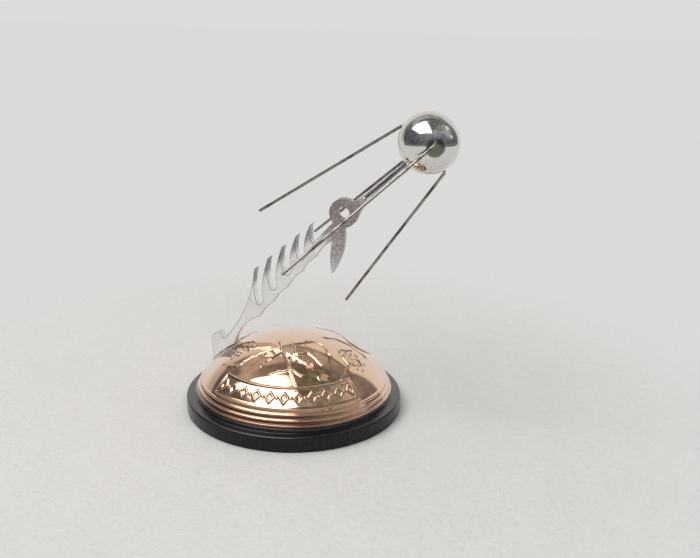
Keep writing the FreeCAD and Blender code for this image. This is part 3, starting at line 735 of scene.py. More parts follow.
# ---------------------------------------------------------------- dome
class Globe:
    """The dome's two-arc outline and the relief on it, from the settings and its CAD box.

    The relief is laid out on a plain sphere cap with the same foot and crown. Its places have
    the directions from that sphere's centre, and each is then moved up to the outline above it.
    """

    def __init__(self, settings):
        low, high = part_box("dome")
        self.settings = settings
        self.foot = low.z
        self.height = high.z - low.z
        self.radius = (settings.radius ** 2 + self.height ** 2) / (2 * self.height)
        self.out = np.array((math.sin(settings.crown_spread), math.cos(settings.crown_spread)))
        crown, sink = settings.crown_radius, settings.crown_radius - self.height
        shift = (crown ** 2 - settings.radius ** 2 - sink ** 2) / (
            2 * (crown - settings.radius * self.out[0] - sink * self.out[1]))
        self.arcs = ((0.0, -sink, crown),
                     (shift * self.out[0], shift * self.out[1] - sink, crown - shift))
        self.pole = on_globe(-100, 75)
        # Level way to the model's front, about which the painted shade by the beads is darkest.
        self.front = on_globe(-107.8, 0)
        self.coast_waves = wave_set(11, 7.0, 5)
        self.stroke_waves = wave_set(23, 16.0, 3)
        self.ragged_waves = [wave_set(seed, 24.0, 3) for seed in (31, 32, 33)]

    def reach_at(self, height, inset=0.0):
        """Distance from the axis at a height above the foot, on the shoulder set in by a wall."""
        across, up, radius = self.arcs[1]
        return across + np.sqrt((radius - inset) ** 2 - (height - up) ** 2)

    def latitude_at(self, height):
        """Latitude on the plain sphere of the outline's place at a height above the foot."""
        return np.arccos(self.reach_at(height) / self.radius)

    def outline(self, points, inset=0.0):
        """Places on the outline, set in by a wall, over the sphere's places, and the way out.

        Each place lies on the crown's arc or the shoulder's, as its distance from the axis says.
        """
        reach = np.hypot(points[:, 0], points[:, 1]) * self.radius
        joint = self.out[0] * (self.arcs[0][2] - inset)
        across, up, radius = (np.where(reach > joint, outer, inner)
                              for inner, outer in zip(*self.arcs))
        height = up + np.sqrt((radius - inset) ** 2 - (reach - across) ** 2)
        flat = points[:, :2] * self.radius
        lean = (reach - across) / np.maximum(reach, 1e-9)
        places = np.column_stack((flat, height + self.foot))
        return places, unit(np.column_stack((flat * lean[:, None], height - up)))

    def coast(self, points):
        """Distance in metres from the coast, positive on land.

        The level is a sum of round bumps and seeded waves less a sea level, and the distance is
        that level over its slope along the sphere.
        """
        level, slope = waves(points, self.coast_waves)
        level, slope = 0.085 * level, 0.085 * slope
        for azimuth, latitude, reach, weight in LANDS:
            middle = on_globe(azimuth, latitude)
            tight = 1 / (1 - math.cos(math.radians(reach)))
            bump = weight * np.exp((points @ middle - 1) * tight)
            level += bump
            slope += (bump * tight)[:, None] * middle
        slope -= np.sum(slope * points, axis=1, keepdims=True) * points
        steep = np.maximum(np.linalg.norm(slope, axis=1), 0.6)
        return (level - 0.42) / steep * self.radius

    def near_coasts(self, points):
        """Distance in metres from the nearest of the drawn coasts, made ragged by waves."""
        ragged = np.stack([waves(points, chosen)[0] for chosen in self.ragged_waves], axis=-1)
        points = unit(points + ragged * (0.34 * MM / self.radius))
        nearest = np.full(len(points), 1.0)
        for coast in COASTS:
            turns = rounded(np.array([on_globe(*turn) for turn in coast]))
            for start, end in zip(turns[:-1], turns[1:]):
                run = end - start
                part = np.clip((points - start) @ run / (run @ run), 0, 1)
                gap = np.linalg.norm(points - start - part[:, None] * run, axis=1)
                nearest = np.minimum(nearest, gap)
        return nearest * self.radius

    def line(self, distance, width, rise):
        """Height of a soft raised line at a distance from its middle."""
        return rise / (1 + (distance / width) ** 4)

    def graticule(self, points):
        """Meridians from a tilted pole, one long and the rest short, a small ring about it and
        one far parallel.
        """
        width = self.settings.line_width
        east = unit(np.cross((0, 0, 1), self.pole))
        north = np.cross(self.pole, east)
        along_east, along_north = points @ east, points @ north
        polar = np.arccos(np.clip(points @ self.pole, -1, 1)) * self.radius
        start = math.radians(-47.3)
        turned_east = along_east * math.cos(start) + along_north * math.sin(start)
        turned_north = along_north * math.cos(start) - along_east * math.sin(start)
        lines = self.line(np.abs(turned_north) * self.radius, width, 1.0)
        lines *= smooth_step(0.0, 0.02, turned_east)
        short = self.line(np.abs(turned_east) * self.radius, width, 1.0)
        lines = np.maximum(lines, short * smooth_step(10.2 * MM, 9.2 * MM, polar))
        lines = np.maximum(lines, self.line(polar, 0.7 * MM, 1.0))
        parallel = math.radians(64) * self.radius
        return np.maximum(lines, self.line(polar - parallel, width, 0.8))

    def hills(self, points):
        """Short raised strokes: the crests of a wavy comb, broken up and kept to a few places."""
        wander, _ = waves(points, self.stroke_waves)
        total = np.zeros(len(points))
        for azimuth, latitude, reach, turn in HILLS:
            middle = on_globe(azimuth, latitude)
            east = unit(np.cross((0, 0, 1), middle))
            north = np.cross(middle, east)
            turn = math.radians(turn)
            across = points @ (north * math.cos(turn) - east * math.sin(turn)) * self.radius
            along = points @ (east * math.cos(turn) + north * math.sin(turn)) * self.radius
            comb = np.abs((across / (1.15 * MM) + 0.7 * wander + 0.5) % 1 - 0.5) * 1.15 * MM
            broken = smooth_step(-0.1, 0.5, np.sin(along / (0.75 * MM) + 5.0 * wander
                                                   + np.floor(across / (1.15 * MM)) * 1.9))
            near = np.arccos(np.clip(points @ middle, -1, 1)) / math.radians(reach)
            total = np.maximum(total, self.line(comb, 0.2 * MM, 1.0) * broken
                               * smooth_step(1.0, 0.7, near + 0.15 * wander))
        return total

    def panel_places(self, points):
        """Places on the panel in metres from its middle: across, up, and outside its border."""
        s = self.settings
        latitude = np.arcsin(np.clip(points[:, 2], -1, 1))
        azimuth = np.arctan2(points[:, 1], points[:, 0])
        turn = (azimuth - s.panel_middle + math.pi) % (2 * math.pi) - math.pi
        low, high = self.latitude_at(s.panel_low), self.latitude_at(s.panel_high)
        middle = 0.5 * (low + high)
        half_up = 0.5 * (high - low) * self.radius
        half_across = 0.5 * s.panel_sweep * self.radius * math.cos(middle)
        across = turn * self.radius * math.cos(middle)
        up = (latitude - middle) * self.radius
        outside = np.maximum(np.abs(across) - half_across, np.abs(up) - half_up)
        return across, up, outside

    def ornament(self, across, up):
        """A row of outlined lozenges with a pearl between each two."""
        pitch = 4.2 * MM
        near = (across + 0.5 * pitch) % pitch - 0.5 * pitch
        between = across % pitch - 0.5 * pitch
        lozenge = (np.abs(near) / 1.25 + np.abs(up) / 1.5 - 1.0 * MM) * 0.95
        outline = self.line(lozenge, 0.25 * MM, 1.0)
        pearl = np.sqrt(np.clip(1 - (between ** 2 + up ** 2) / (0.55 * MM) ** 2, 0, 1))
        return np.maximum(outline, pearl)

    def relief(self, points):
        """Height of the relief over the outline, and how dark each point is painted: patina, with
        painted shade on the raised lines and about the beads.
        """
        s = self.settings
        places, out = self.outline(points)
        height = places[:, 2] - self.foot
        across, up, outside = self.panel_places(points)
        in_panel = smooth_step(0.25 * MM, -0.25 * MM, outside)
        above_beads = smooth_step(4.3 * MM, 4.8 * MM, height)
        globe = above_beads * (1 - in_panel)

        coast = self.coast(points)
        on_land = smooth_step(-0.1 * MM, 0.5 * MM, coast)
        shore = self.line(coast, s.line_width, 1.0)
        shore = np.maximum(shore, self.line(self.near_coasts(points), 0.9 * s.line_width, 1.0))
        hills = self.hills(points)
        land = on_land * 0.06 * MM
        lines = np.maximum.reduce((shore, 0.85 * self.graticule(points), 0.75 * hills))
        rise = globe * (land + s.line_rise * lines)

        border = self.line(np.abs(outside), 0.26 * MM, 1.0) * above_beads
        figure = self.ornament(across, up) * smooth_step(-0.9 * MM, -1.2 * MM, outside)
        rise = np.maximum(rise, 0.34 * MM * border)
        rise += in_panel * (0.04 * MM + 0.32 * MM * figure) * (1 - border)

        # Painted shade over patina: a band below each bead and the lowest bead itself, where the
        # polish would show the black base, much darker on the front and back than at the sides.
        bead_patina_and_shade = 0.7 * smooth_step(1.2 * MM, 0.9 * MM, height)
        for count in range(s.beads):
            gone = (height - s.bead_start - count * s.bead_pitch) / (
                np.maximum(np.hypot(out[:, 0], out[:, 1]), 1e-9) * s.bead_width)
            rise = np.maximum(rise, s.bead_rise * np.sqrt(np.clip(1 - gone ** 2, 0, 1)))
            under = smooth_step(-2.6, -2.0, gone) * smooth_step(-0.1, -0.8, gone)
            bead_patina_and_shade = np.maximum(bead_patina_and_shade, under)
        level = np.hypot(points[:, 0], points[:, 1])
        front = np.abs(points @ self.front) / np.maximum(level, 1e-6)
        bead_patina_and_shade *= 0.25 + 0.75 * smooth_step(0.45, 0.8, front)
        # Painted shade on the flanks of the raised lines, border and ornament, a little on their
        # crests too, and a faint darkening of the land.
        crest = np.maximum.reduce((globe * lines, border, in_panel * figure))
        patina_and_shade = 0.05 * globe * on_land + 0.15 * crest + 1.5 * crest * (1 - crest)
        return rise, np.clip(np.maximum(patina_and_shade, bead_patina_and_shade), 0, 1)

    def surface(self, points):
        rise, _ = self.relief(points)
        places, out = self.outline(points)
        return places + out * rise[:, None]

    def normals(self, points):
        """Normals of the relief, from its places a little to each side."""
        step = 0.05 * MM / self.radius
        east = unit(np.cross((0.013, 0.021, 1.0), points))
        north = np.cross(points, east)
        run = self.surface(unit(points + east * step)) - self.surface(unit(points - east * step))
        rise = self.surface(unit(points + north * step)) - self.surface(
            unit(points - north * step))
        return unit(np.cross(run, rise))


def rounded(turns, steps=4):
    """A path through all the turns with its corners rounded, by Catmull and Rom's cubic."""
    ends = np.vstack((2 * turns[0] - turns[1], turns, 2 * turns[-1] - turns[-2]))
    before, start, end, after = ends[:-3, None], ends[1:-2, None], ends[2:-1, None], ends[3:, None]
    t = np.linspace(0, 1, steps, endpoint=False)[None, :, None]
    path = 0.5 * (2 * start + (end - before) * t
                  + (2 * before - 5 * start + 4 * end - after) * t ** 2
                  + (3 * start - before - 3 * end + after) * t ** 3)
    return np.vstack((path.reshape(-1, turns.shape[1]), turns[-1:]))


def disc_grid(count):
    """Places on a disc of radius one from a square grid, with even cells to the very middle.

    The square's shells become the disc's rings, and the way along a shell becomes the turn.
    """
    line = np.linspace(-1, 1, count + 1)
    u, v = np.meshgrid(line, line, indexing="xy")
    wide = np.abs(u) >= np.abs(v)
    with np.errstate(divide="ignore", invalid="ignore"):
        turn = np.where(wide, math.pi / 4 * v / u, math.pi / 2 - math.pi / 4 * u / v)
    turn = np.nan_to_num(turn)
    reach = np.where(wide, u, v)
    return (np.abs(reach).ravel(), np.arctan2(reach * np.sin(turn), reach * np.cos(turn)).ravel())


def square_border(count):
    """Numbers of a square grid's border vertices, anticlockwise from its lower right corner."""
    side = np.arange(count)
    row = count + 1
    return np.concatenate((side * row + count, count * row + (count - side),
                           (count - side) * row, side))


class SATELLITE_OT_dome(bpy.types.Operator):
    """Make the globe dome with its relief, in a globe and a band that meet above the panel"""
    bl_idname = "satellite.dome"
    bl_label = "Dome"

    cells: IntProperty(name="Cells", description="Cells across the globe's grid", default=280)
    rows: IntProperty(name="Rows", description="Rows up the band", default=70)
    inner_rows: IntProperty(name="Inner rows", description="Rows of the inner wall", default=10)

    def inner_shell(self, globe, turn, latitudes):
        """Rings of the inner wall, one to each latitude, on the given turns about Z."""
        lat, az = np.meshgrid(latitudes, turn, indexing="ij")
        points = np.stack((np.cos(lat) * np.cos(az), np.cos(lat) * np.sin(az), np.sin(lat)), -1)
        places, out = globe.outline(points.reshape(-1, 3), globe.settings.wall)
        return places, -out

    def make_globe(self, globe, material):
        """The outer skin is a disc grid bent over the sphere; the inner wall closes it."""
        seam = globe.latitude_at(globe.settings.seam)
        reach, turn = disc_grid(self.cells)
        polar = reach * (math.pi / 2 - seam)
        points = np.column_stack((np.sin(polar) * np.cos(turn), np.sin(polar) * np.sin(turn),
                                  np.cos(polar)))
        border = square_border(self.cells)
        inner_lat = np.linspace(seam, math.pi / 2, self.inner_rows + 1)[:-1]
        inner, inner_normals = self.inner_shell(globe, turn[border], inner_lat)
        outer_count, ring = len(points), len(border)
        crown = np.array((0, 0, globe.foot + globe.height - globe.settings.wall))
        vertices = np.vstack((globe.surface(points), inner, crown))
        normals = np.vstack((globe.normals(points), inner_normals, (0, 0, -1)))
        outer = grid_quads(self.cells + 1, self.cells + 1)
        around = np.arange(ring)
        ahead = (around + 1) % ring
        lip = np.column_stack((border, outer_count + around, outer_count + ahead, border[ahead]))
        wall = grid_quads(self.inner_rows, ring, wrap_columns=True, start=outer_count)[:, ::-1]
        last = outer_count + (self.inner_rows - 1) * ring
        cap = np.column_stack((last + ahead, last + around, np.full(ring, len(vertices) - 1)))
        piece = make_piece("dome_globe", vertices, np.vstack((outer, lip, wall)), cap, normals)
        patina_and_shade = np.zeros(len(vertices))
        patina_and_shade[:outer_count] = globe.relief(points)[1]
        attribute(piece, "patina_and_shade", patina_and_shade)
        return finish_piece(piece, "rose_gold_dome", material, "dome")

    def make_band(self, globe, material):
        """Rows from the foot to the seam outside, and back down inside, turned about Z."""
        ring = 4 * self.cells
        turn = -math.pi / 4 + np.arange(ring) * 2 * math.pi / ring
        foot, seam = globe.latitude_at(0.0), globe.latitude_at(globe.settings.seam)
        beads_end = globe.latitude_at(4.6 * MM)
        bead_rows = int(self.rows * 0.56)
        rows = np.concatenate((np.linspace(foot, beads_end, bead_rows, endpoint=False),
                               np.linspace(beads_end, seam, self.rows - bead_rows)))
        lat, az = np.meshgrid(rows, turn, indexing="ij")
        points = np.stack((np.cos(lat) * np.cos(az), np.cos(lat) * np.sin(az), np.sin(lat)), -1)
        points = points.reshape(-1, 3)
        wall = globe.settings.wall
        inner_foot = np.arccos(globe.reach_at(0.0, wall) / globe.radius)
        inner, inner_normals = self.inner_shell(
            globe, turn, np.linspace(seam, inner_foot, self.inner_rows))
        vertices = np.vstack((globe.surface(points), inner))
        normals = np.vstack((globe.normals(points), inner_normals))
        quads = grid_quads(self.rows + self.inner_rows, ring, True, True)
        piece = make_piece("dome_band", vertices, quads, normals=normals)
        patina_and_shade = np.zeros(len(vertices))
        patina_and_shade[:len(points)] = globe.relief(points)[1]
        attribute(piece, "patina_and_shade", patina_and_shade)
        return finish_piece(piece, "rose_gold_dome", material)

    def execute(self, context):
        settings = context.scene.satellite_dome
        globe = Globe(settings)
        material = rose_gold_material(settings)
        self.make_globe(globe, material)
        self.make_band(globe, material)
        return {"FINISHED"}


# ---------------------------------------------------------------- strut
class SATELLITE_OT_strut(bpy.types.Operator):
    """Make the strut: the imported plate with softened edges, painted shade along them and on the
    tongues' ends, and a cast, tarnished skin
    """
    bl_idname = "satellite.strut"
    bl_label = "Strut"

    def soften(self, work, width):
        """Insets both flat faces and sinks their old outlines, which leaves a narrow bevel in a
        second material that is painted in shade.
        """
        half = max(vertex.co.y for vertex in work.verts)
        for side in (-1, 1):
            flat = [face for face in work.faces if face.normal.y * side > 0.999
                    and face.calc_center_median().y * side > half - 0.01 * MM]
            strip = bmesh.ops.inset_region(
                work, faces=flat, thickness=width, use_boundary=True)["faces"]
            inner = {vertex for face in flat for vertex in face.verts}
            outer = {vertex for face in strip for vertex in face.verts} - inner
            for vertex in outer:
                vertex.co.y -= side * 0.6 * width
            # The bevel gets the edge material, a painted shade line along the outline.
            for face in strip:
                face.material_index = 1

    def execute(self, context):
        settings = context.scene.satellite_strut
        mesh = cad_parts["strut"].data.copy()
        mesh.name = "strut_casting"
        mesh.materials.clear()
        work = bmesh.new()
        work.from_mesh(mesh)
        for face in work.faces:
            face.smooth = True
            face.material_index = 0
        bmesh.ops.remove_doubles(work, verts=work.verts, dist=0.002 * MM)
        bmesh.ops.dissolve_limit(
            work, angle_limit=math.radians(0.5), verts=work.verts, edges=work.edges)
        self.soften(work, settings.softening)
        work.to_mesh(mesh)
        work.free()
        custom = mesh.attributes.get("custom_normal")
        if custom:
            mesh.attributes.remove(custom)
        mesh.set_sharp_from_angle(angle=math.radians(38))
        piece = bpy.data.objects.new("strut_casting", mesh)
        context.scene.collection.objects.link(piece)
        weighted = piece.modifiers.new("flat faces", "WEIGHTED_NORMAL")
        weighted.mode = "FACE_AREA"
        weighted.weight = 100
        weighted.keep_sharp = True
        ring, knee = Vector(RING), Vector(KNEE)
        heading = (ring - Vector((0, 0, 0.002)) - knee).normalized()
        bevels = np.zeros(len(mesh.polygons), np.int32)
        mesh.polygons.foreach_get("material_index", bevels)
        finish_piece(
            piece, "satin_strut", strut_material(settings, ring, knee, heading), "strut")
        # Second material: the casting painted in shade, for the bevels.
        mesh.materials.append(strut_material(settings, ring, knee, heading, 0.8))
        mesh.polygons.foreach_set("material_index", bevels)
        return {"FINISHED"}


# ---------------------------------------------------------------- ball and antennas
def end_fans(steps, last, south, north):
    """Triangles that close both ends of a tube, each about its own middle point."""
    around = np.arange(steps)
    ahead = (around + 1) % steps
    return np.vstack((np.column_stack((ahead, around, np.full(steps, south))),
                      np.column_stack((last + around, last + ahead, np.full(steps, north)))))


def antenna_directions(clock, lag, splay, lean, rise):
    """Where a wire leaves the ball's centre line, and the way its long run points."""
    clock, lag, splay, lean = (math.radians(value) for value in (clock, lag, splay, lean))
    ahead = np.array((math.cos(rise), 0, math.sin(rise)))
    top = np.array((-math.sin(rise), 0, math.cos(rise)))
    front = np.array((0.0, -1.0, 0.0))
    outward = front * math.cos(clock) + top * math.sin(clock)
    sideways = top * math.cos(clock) - front * math.sin(clock)
    out = outward * math.cos(lag) - ahead * math.sin(lag)
    run = outward * math.sin(splay) - ahead * math.cos(splay) + sideways * math.tan(lean)
    return out, unit(run)


class SATELLITE_OT_ball(bpy.types.Operator):
    """Make the mirror ball with a solder fillet about each wire"""
    bl_idname = "satellite.ball"
    bl_label = "Ball"

    steps: IntProperty(name="Steps", description="Steps around the ball", default=288)
    rings: IntProperty(name="Rings", description="Rings from pole to pole", default=144)

    def execute(self, context):
        """Rings of a sphere between two poles; the radius grows by a bell about each wire."""
        settings, wire = context.scene.satellite_ball, context.scene.satellite_wire
        low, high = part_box("satellite_ball")
        centre, radius = np.array((low + high) / 2), (high.z - low.z) / 2
        lat = np.linspace(-math.pi / 2, math.pi / 2, self.rings + 2)[1:-1]
        turn = np.linspace(0, 2 * math.pi, self.steps, endpoint=False)
        lat, turn = np.meshgrid(lat, turn, indexing="ij")
        points = np.stack(
            (np.cos(lat) * np.cos(turn), np.cos(lat) * np.sin(turn), np.sin(lat)), -1)
        points = np.vstack((points.reshape(-1, 3), (0, 0, -1), (0, 0, 1)))
        rise, spot = np.zeros(len(points)), np.zeros(len(points))
        ragged, _ = waves(points, wave_set(5, 9.0, 3))
        for _, clock, lag, splay, lean, _ in ANTENNAS:
            out, _ = antenna_directions(clock, lag, splay, lean, wire.pattern_rise)
            gone = np.arccos(np.clip(points @ out, -1, 1)) * radius
            rise += settings.fillet_rise * np.exp(-(gone / settings.fillet_width) ** 2)
            # A darker spot about each wire, set a little below it.
            middle = unit(out - np.array((0.0, 0.0, 0.15)))
            reach = np.arccos(np.clip(points @ middle, -1, 1)) * radius
            edge = settings.spot_radius * (1 + 0.05 * ragged)
            spot = np.maximum(spot, smooth_step(1.1, 0.85, reach / edge))
        vertices = centre + points * (radius + np.minimum(rise, settings.fillet_rise))[:, None]
        quads = grid_quads(self.rings, self.steps, wrap_columns=True)
        poles = end_fans(
            self.steps, (self.rings - 1) * self.steps, len(points) - 2, len(points) - 1)
        piece = make_piece("satellite_ball_polished", vertices, quads, poles)
        attribute(piece, "spot", spot)
        finish_piece(piece, "mirror_ball", mirror_material(settings), "satellite_ball")
        return {"FINISHED"}


class SATELLITE_OT_antennas(bpy.types.Operator):
    """Make the four whip antennas"""
    bl_idname = "satellite.antennas"
    bl_label = "Antennas"

    sides: IntProperty(name="Sides", description="Sides of the wire", default=28)
    bend_steps: IntProperty(name="Bend steps", description="Steps round the bend", default=14)
    run_steps: IntProperty(name="Run steps", description="Steps along the run", default=90)

    def execute(self, context):
        """A circle carried along a stub, a bend and a run; its tip is rounded over."""
        settings = context.scene.satellite_wire
        low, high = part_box("satellite_ball")
        centre, ball = np.array((low + high) / 2), (high.z - low.z) / 2
        material = wire_material(settings)
        for name, clock, lag, splay, lean, spare in ANTENNAS:
            out, run = antenna_directions(clock, lag, splay, lean, settings.pattern_rise)
            length_run = settings.run + spare * MM
            corner = centre + out * (ball + settings.stand_off)
            turn = math.acos(float(np.clip(out @ run, -1, 1)))
            trim = settings.bend * math.tan(turn / 2)
            inward = unit(run - out * float(out @ run))
            bend_start = corner - out * trim
            middle = bend_start + inward * settings.bend
            part = np.linspace(0, turn, self.bend_steps)[1:-1, None]
            bend = middle + settings.bend * (out * np.sin(part) - inward * np.cos(part))
            stub = centre + out * (ball - settings.grip + np.linspace(
                0, settings.grip + settings.stand_off - trim, 12)[:, None])
            far = np.linspace(trim, length_run - 0.35 * settings.radius, self.run_steps)
            straight = corner + run * far[:, None]
            tip = corner + run * (length_run - settings.radius * np.array(
                (0.2, 0.08, 0.0, 0.0)))[:, None]
            path = np.vstack((stub, bend, straight, tip))
            tangent = unit(np.gradient(path, axis=0) + 1e-12 * run)
            tangent[-4:] = run
            across = unit(np.cross(out, run))
            side = np.cross(across, tangent)
            radius = np.full(len(path), settings.radius)
            radius[-4:] = settings.radius * np.array((0.97, 0.86, 0.68, 0.0001))
            spin = np.linspace(0, 2 * math.pi, self.sides, endpoint=False)
            rim = side[:, None, :] * np.cos(spin)[:, None] + across * np.sin(spin)[:, None]
            vertices = path[:, None, :] + rim * radius[:, None, None]
            vertices = np.vstack((vertices.reshape(-1, 3), path[0], path[-1]))
            rows = len(path)
            quads = grid_quads(rows, self.sides, wrap_columns=True)
            ends = end_fans(
                self.sides, (rows - 1) * self.sides, len(vertices) - 2, len(vertices) - 1)
            piece = make_piece(name + "_wire", vertices, quads, ends)
            gone = np.concatenate(((0,), np.cumsum(np.linalg.norm(np.diff(path, axis=0), axis=1))))
            self.unwrap(piece, gone, settings.radius, clock)
            finish_piece(piece, "antenna_wire", material, name)
        return {"FINISHED"}

    def unwrap(self, piece, gone, radius, clock):
        """UV map in metres: along the wire, and around it, moved on for each wire."""
        mesh = piece.data
        row = np.minimum(np.arange(len(mesh.vertices)) // self.sides, len(gone) - 1)
        spin = (np.arange(len(mesh.vertices)) % self.sides) / self.sides
        u = gone[row] + abs(clock) * 0.01
        v = np.abs(spin - 0.5) * 2 * math.pi * radius
        layer = mesh.uv_layers.new(name="run")
        corner = np.zeros(len(mesh.loops), np.int32)
        mesh.loops.foreach_get("vertex_index", corner)
        layer.data.foreach_set("uv", np.column_stack((u[corner], v[corner])).ravel())


# ---------------------------------------------------------------- stage
def level_ways(pan):
    """Level directions to the camera's right and back towards its side."""
    return (np.array((math.cos(pan), -math.sin(pan), 0.0)),
            np.array((-math.sin(pan), -math.cos(pan), 0.0)))


class SATELLITE_OT_stage(bpy.types.Operator):
    """Make the floor, the lights, the surroundings and the camera"""
    bl_idname = "satellite.stage"
    bl_label = "Stage"

    def execute(self, context):
        scene, settings = context.scene, context.scene.satellite_stage
        scene.view_settings.view_transform = "Standard"
        self.camera(scene, settings)
        self.floor(scene, settings)
        self.lamps(scene, settings)
        self.surroundings(scene, settings)
        return {"FINISHED"}

    def camera(self, scene, settings):
        turn, pan, pitch = settings.camera_turn, settings.camera_pan, settings.camera_pitch
        place = Vector((settings.camera_reach * math.sin(turn),
                        -settings.camera_reach * math.cos(turn), settings.camera_height))
        ahead = Vector((math.sin(pan) * math.cos(pitch), math.cos(pan) * math.cos(pitch),
                        -math.sin(pitch)))
        right = ahead.cross(Vector((0, 0, 1))).normalized()
        up = right.cross(ahead)
        roll = settings.camera_roll
        rolled_right = right * math.cos(roll) + up * math.sin(roll)
        rolled_up = up * math.cos(roll) - right * math.sin(roll)
        data = bpy.data.cameras.new("camera")
        data.lens = settings.lens
        data.sensor_width = 36.0
        data.clip_start = 0.01
        data.clip_end = 50.0
        camera = bpy.data.objects.new("camera", data)
        columns = Matrix((rolled_right, rolled_up, -ahead)).transposed()
        camera.matrix_world = Matrix.Translation(place) @ columns.to_4x4()
        scene.collection.objects.link(camera)
        scene.camera = camera

    def floor(self, scene, settings):
        """A level square, pale, with a nap and a slow change of tone.

        In polish, it ends at the edges of a table and the dim room goes on below them.
        """
        half = 3.0
        mesh = bpy.data.meshes.new("floor")
        mesh.from_pydata([(-half, -half, 0), (half, -half, 0), (half, half, 0), (-half, half, 0)],
                         [], [(0, 1, 2, 3)])
        floor = bpy.data.objects.new("floor", mesh)
        scene.collection.objects.link(floor)
        material, nodes, shader = new_material("Pale floor")
        place = nodes.place()
        slow = nodes.noise(place, 9.0, 3.0, 0.55)
        nap = nodes.noise(place, 520.0, 4.0, 0.7)
        tone = nodes.mix(nodes.span(slow, 0.3, 0.7), settings.floor,
                         tuple(min(1.0, value * 1.03) for value in settings.floor))
        cloth = nodes.mix(nodes.span(nap, 0.3, 0.7, 0.0, 0.16), tone, (0.50, 0.50, 0.49))
        nodes.put(shader["Base Color"], cloth)
        shader["Roughness"].default_value = 0.9
        shader["Specular IOR Level"].default_value = 0.2
        swell = nodes.times(nodes.noise(place, 70.0, 2.0), 2.0)
        nodes.put(shader["Normal"], nodes.bump(nodes.plus(nap, swell), 0.0012, 0.7))
        far = nodes.span(nodes.vector("LENGTH", place), 0.06, 0.17)
        light_path = nodes.add("ShaderNodeLightPath").outputs
        seen = nodes.most(light_path["Is Camera Ray"], light_path["Is Glossy Ray"])
        pale = nodes.add("ShaderNodeEmission")
        weave = nodes.mix(
            nodes.span(nap, 0.3, 0.7, 0.0, 0.12), settings.distance, (0.55, 0.55, 0.54))
        right, near = (nodes.vector("DOT_PRODUCT", place, tuple(way.tolist()))
                       for way in level_ways(settings.camera_pan))
        aside = nodes.math("ABSOLUTE", nodes.less(right, 0.07))
        lean = nodes.span(right, -0.1, 0.1, 0.3, 0.72)
        forward = nodes.plus(near, nodes.times(aside, lean))
        past_side = nodes.times(nodes.span(aside, 0.66, 0.69), nodes.span(forward, 0.0, 0.05))
        past_table = nodes.most(nodes.span(near, 1.2, 1.25), past_side)
        nodes.put(pale.inputs["Color"], nodes.mix(
            nodes.times(past_table, light_path["Is Glossy Ray"]), weave,
            settings.room))
        blend = nodes.add("ShaderNodeMixShader")
        nodes.put(blend.inputs[0], nodes.times(far, seen))
        shader_out = next(node for node in nodes.tree.nodes if node.type == "BSDF_PRINCIPLED")
        output = next(node for node in nodes.tree.nodes if node.type == "OUTPUT_MATERIAL")
        nodes.put(blend.inputs[1], shader_out.outputs[0])
        nodes.put(blend.inputs[2], pale.outputs[0])
        nodes.put(output.inputs["Surface"], blend.outputs[0])
        mesh.materials.append(material)

    def lamps(self, scene, settings):
        """A soft window panel overhead, to the left and a little in front, and a wide fill lamp.

        The panel's corners stand on a leaning four-sided outline and its light fades over a
        narrow border.
        """
        right, near = level_ways(settings.camera_pan)
        places = [right * x + near * y + (0.0, 0.0, WINDOW_HEIGHT) for x, y in WINDOW_CORNERS]
        panel = make_piece("window_panel", places, [(3, 2, 1, 0)])
        border = panel.data.uv_layers.new(name="pane")
        border.data.foreach_set("uv", (0.0, 1.0, 1.0, 1.0, 1.0, 0.0, 0.0, 0.0))
        material = bpy.data.materials.new("Window light")
        material.use_nodes = True
        nodes = Nodes(material.node_tree)
        pane = nodes.parts(nodes.add("ShaderNodeUVMap", uv_map="pane").outputs["UV"])
        level = settings.panel_light
        for axis in ("X", "Y"):
            inside = nodes.less(0.5, nodes.math(
                "ABSOLUTE", nodes.less(pane[axis], 0.5)))
            level = nodes.times(level, nodes.span(inside, 0.0, 0.09))
        cloud = nodes.span(nodes.noise(nodes.place(), 3.0, 2.0), 0.35, 0.65, 0.85, 1.1)
        glow = nodes.add("ShaderNodeEmission")
        glow.inputs["Color"].default_value = (1.0, 0.99, 0.98, 1.0)
        nodes.put(glow.inputs["Strength"], nodes.times(level, cloud))
        output = nodes.add("ShaderNodeOutputMaterial")
        nodes.put(output.inputs["Surface"], glow.outputs[0])
        panel.data.materials.append(material)
        data = bpy.data.lights.new("soft_fill", "AREA")
        data.shape = "SQUARE"
        data.size = 1.8
        data.energy = settings.fill_light * math.pi * data.size ** 2
        lamp = bpy.data.objects.new("soft_fill", data)
        lamp.location = (0.0, 0.0, 1.3)
        lamp.visible_glossy = False
        scene.collection.objects.link(lamp)

    def patch(self, nodes, way, pan, turn, rise, reach, core):
        """One inside a soft round patch of the surroundings, with angles in degrees."""
        turn, rise = math.radians(turn), math.radians(rise)
        right, near = level_ways(pan)
        level = right * math.sin(turn) + near * math.cos(turn)
        middle = level * math.cos(rise) + np.array((0, 0, math.sin(rise)))
        dot = nodes.vector("DOT_PRODUCT", way, tuple(middle.tolist()))
        return nodes.span(dot, math.cos(math.radians(reach)), math.cos(math.radians(core)))

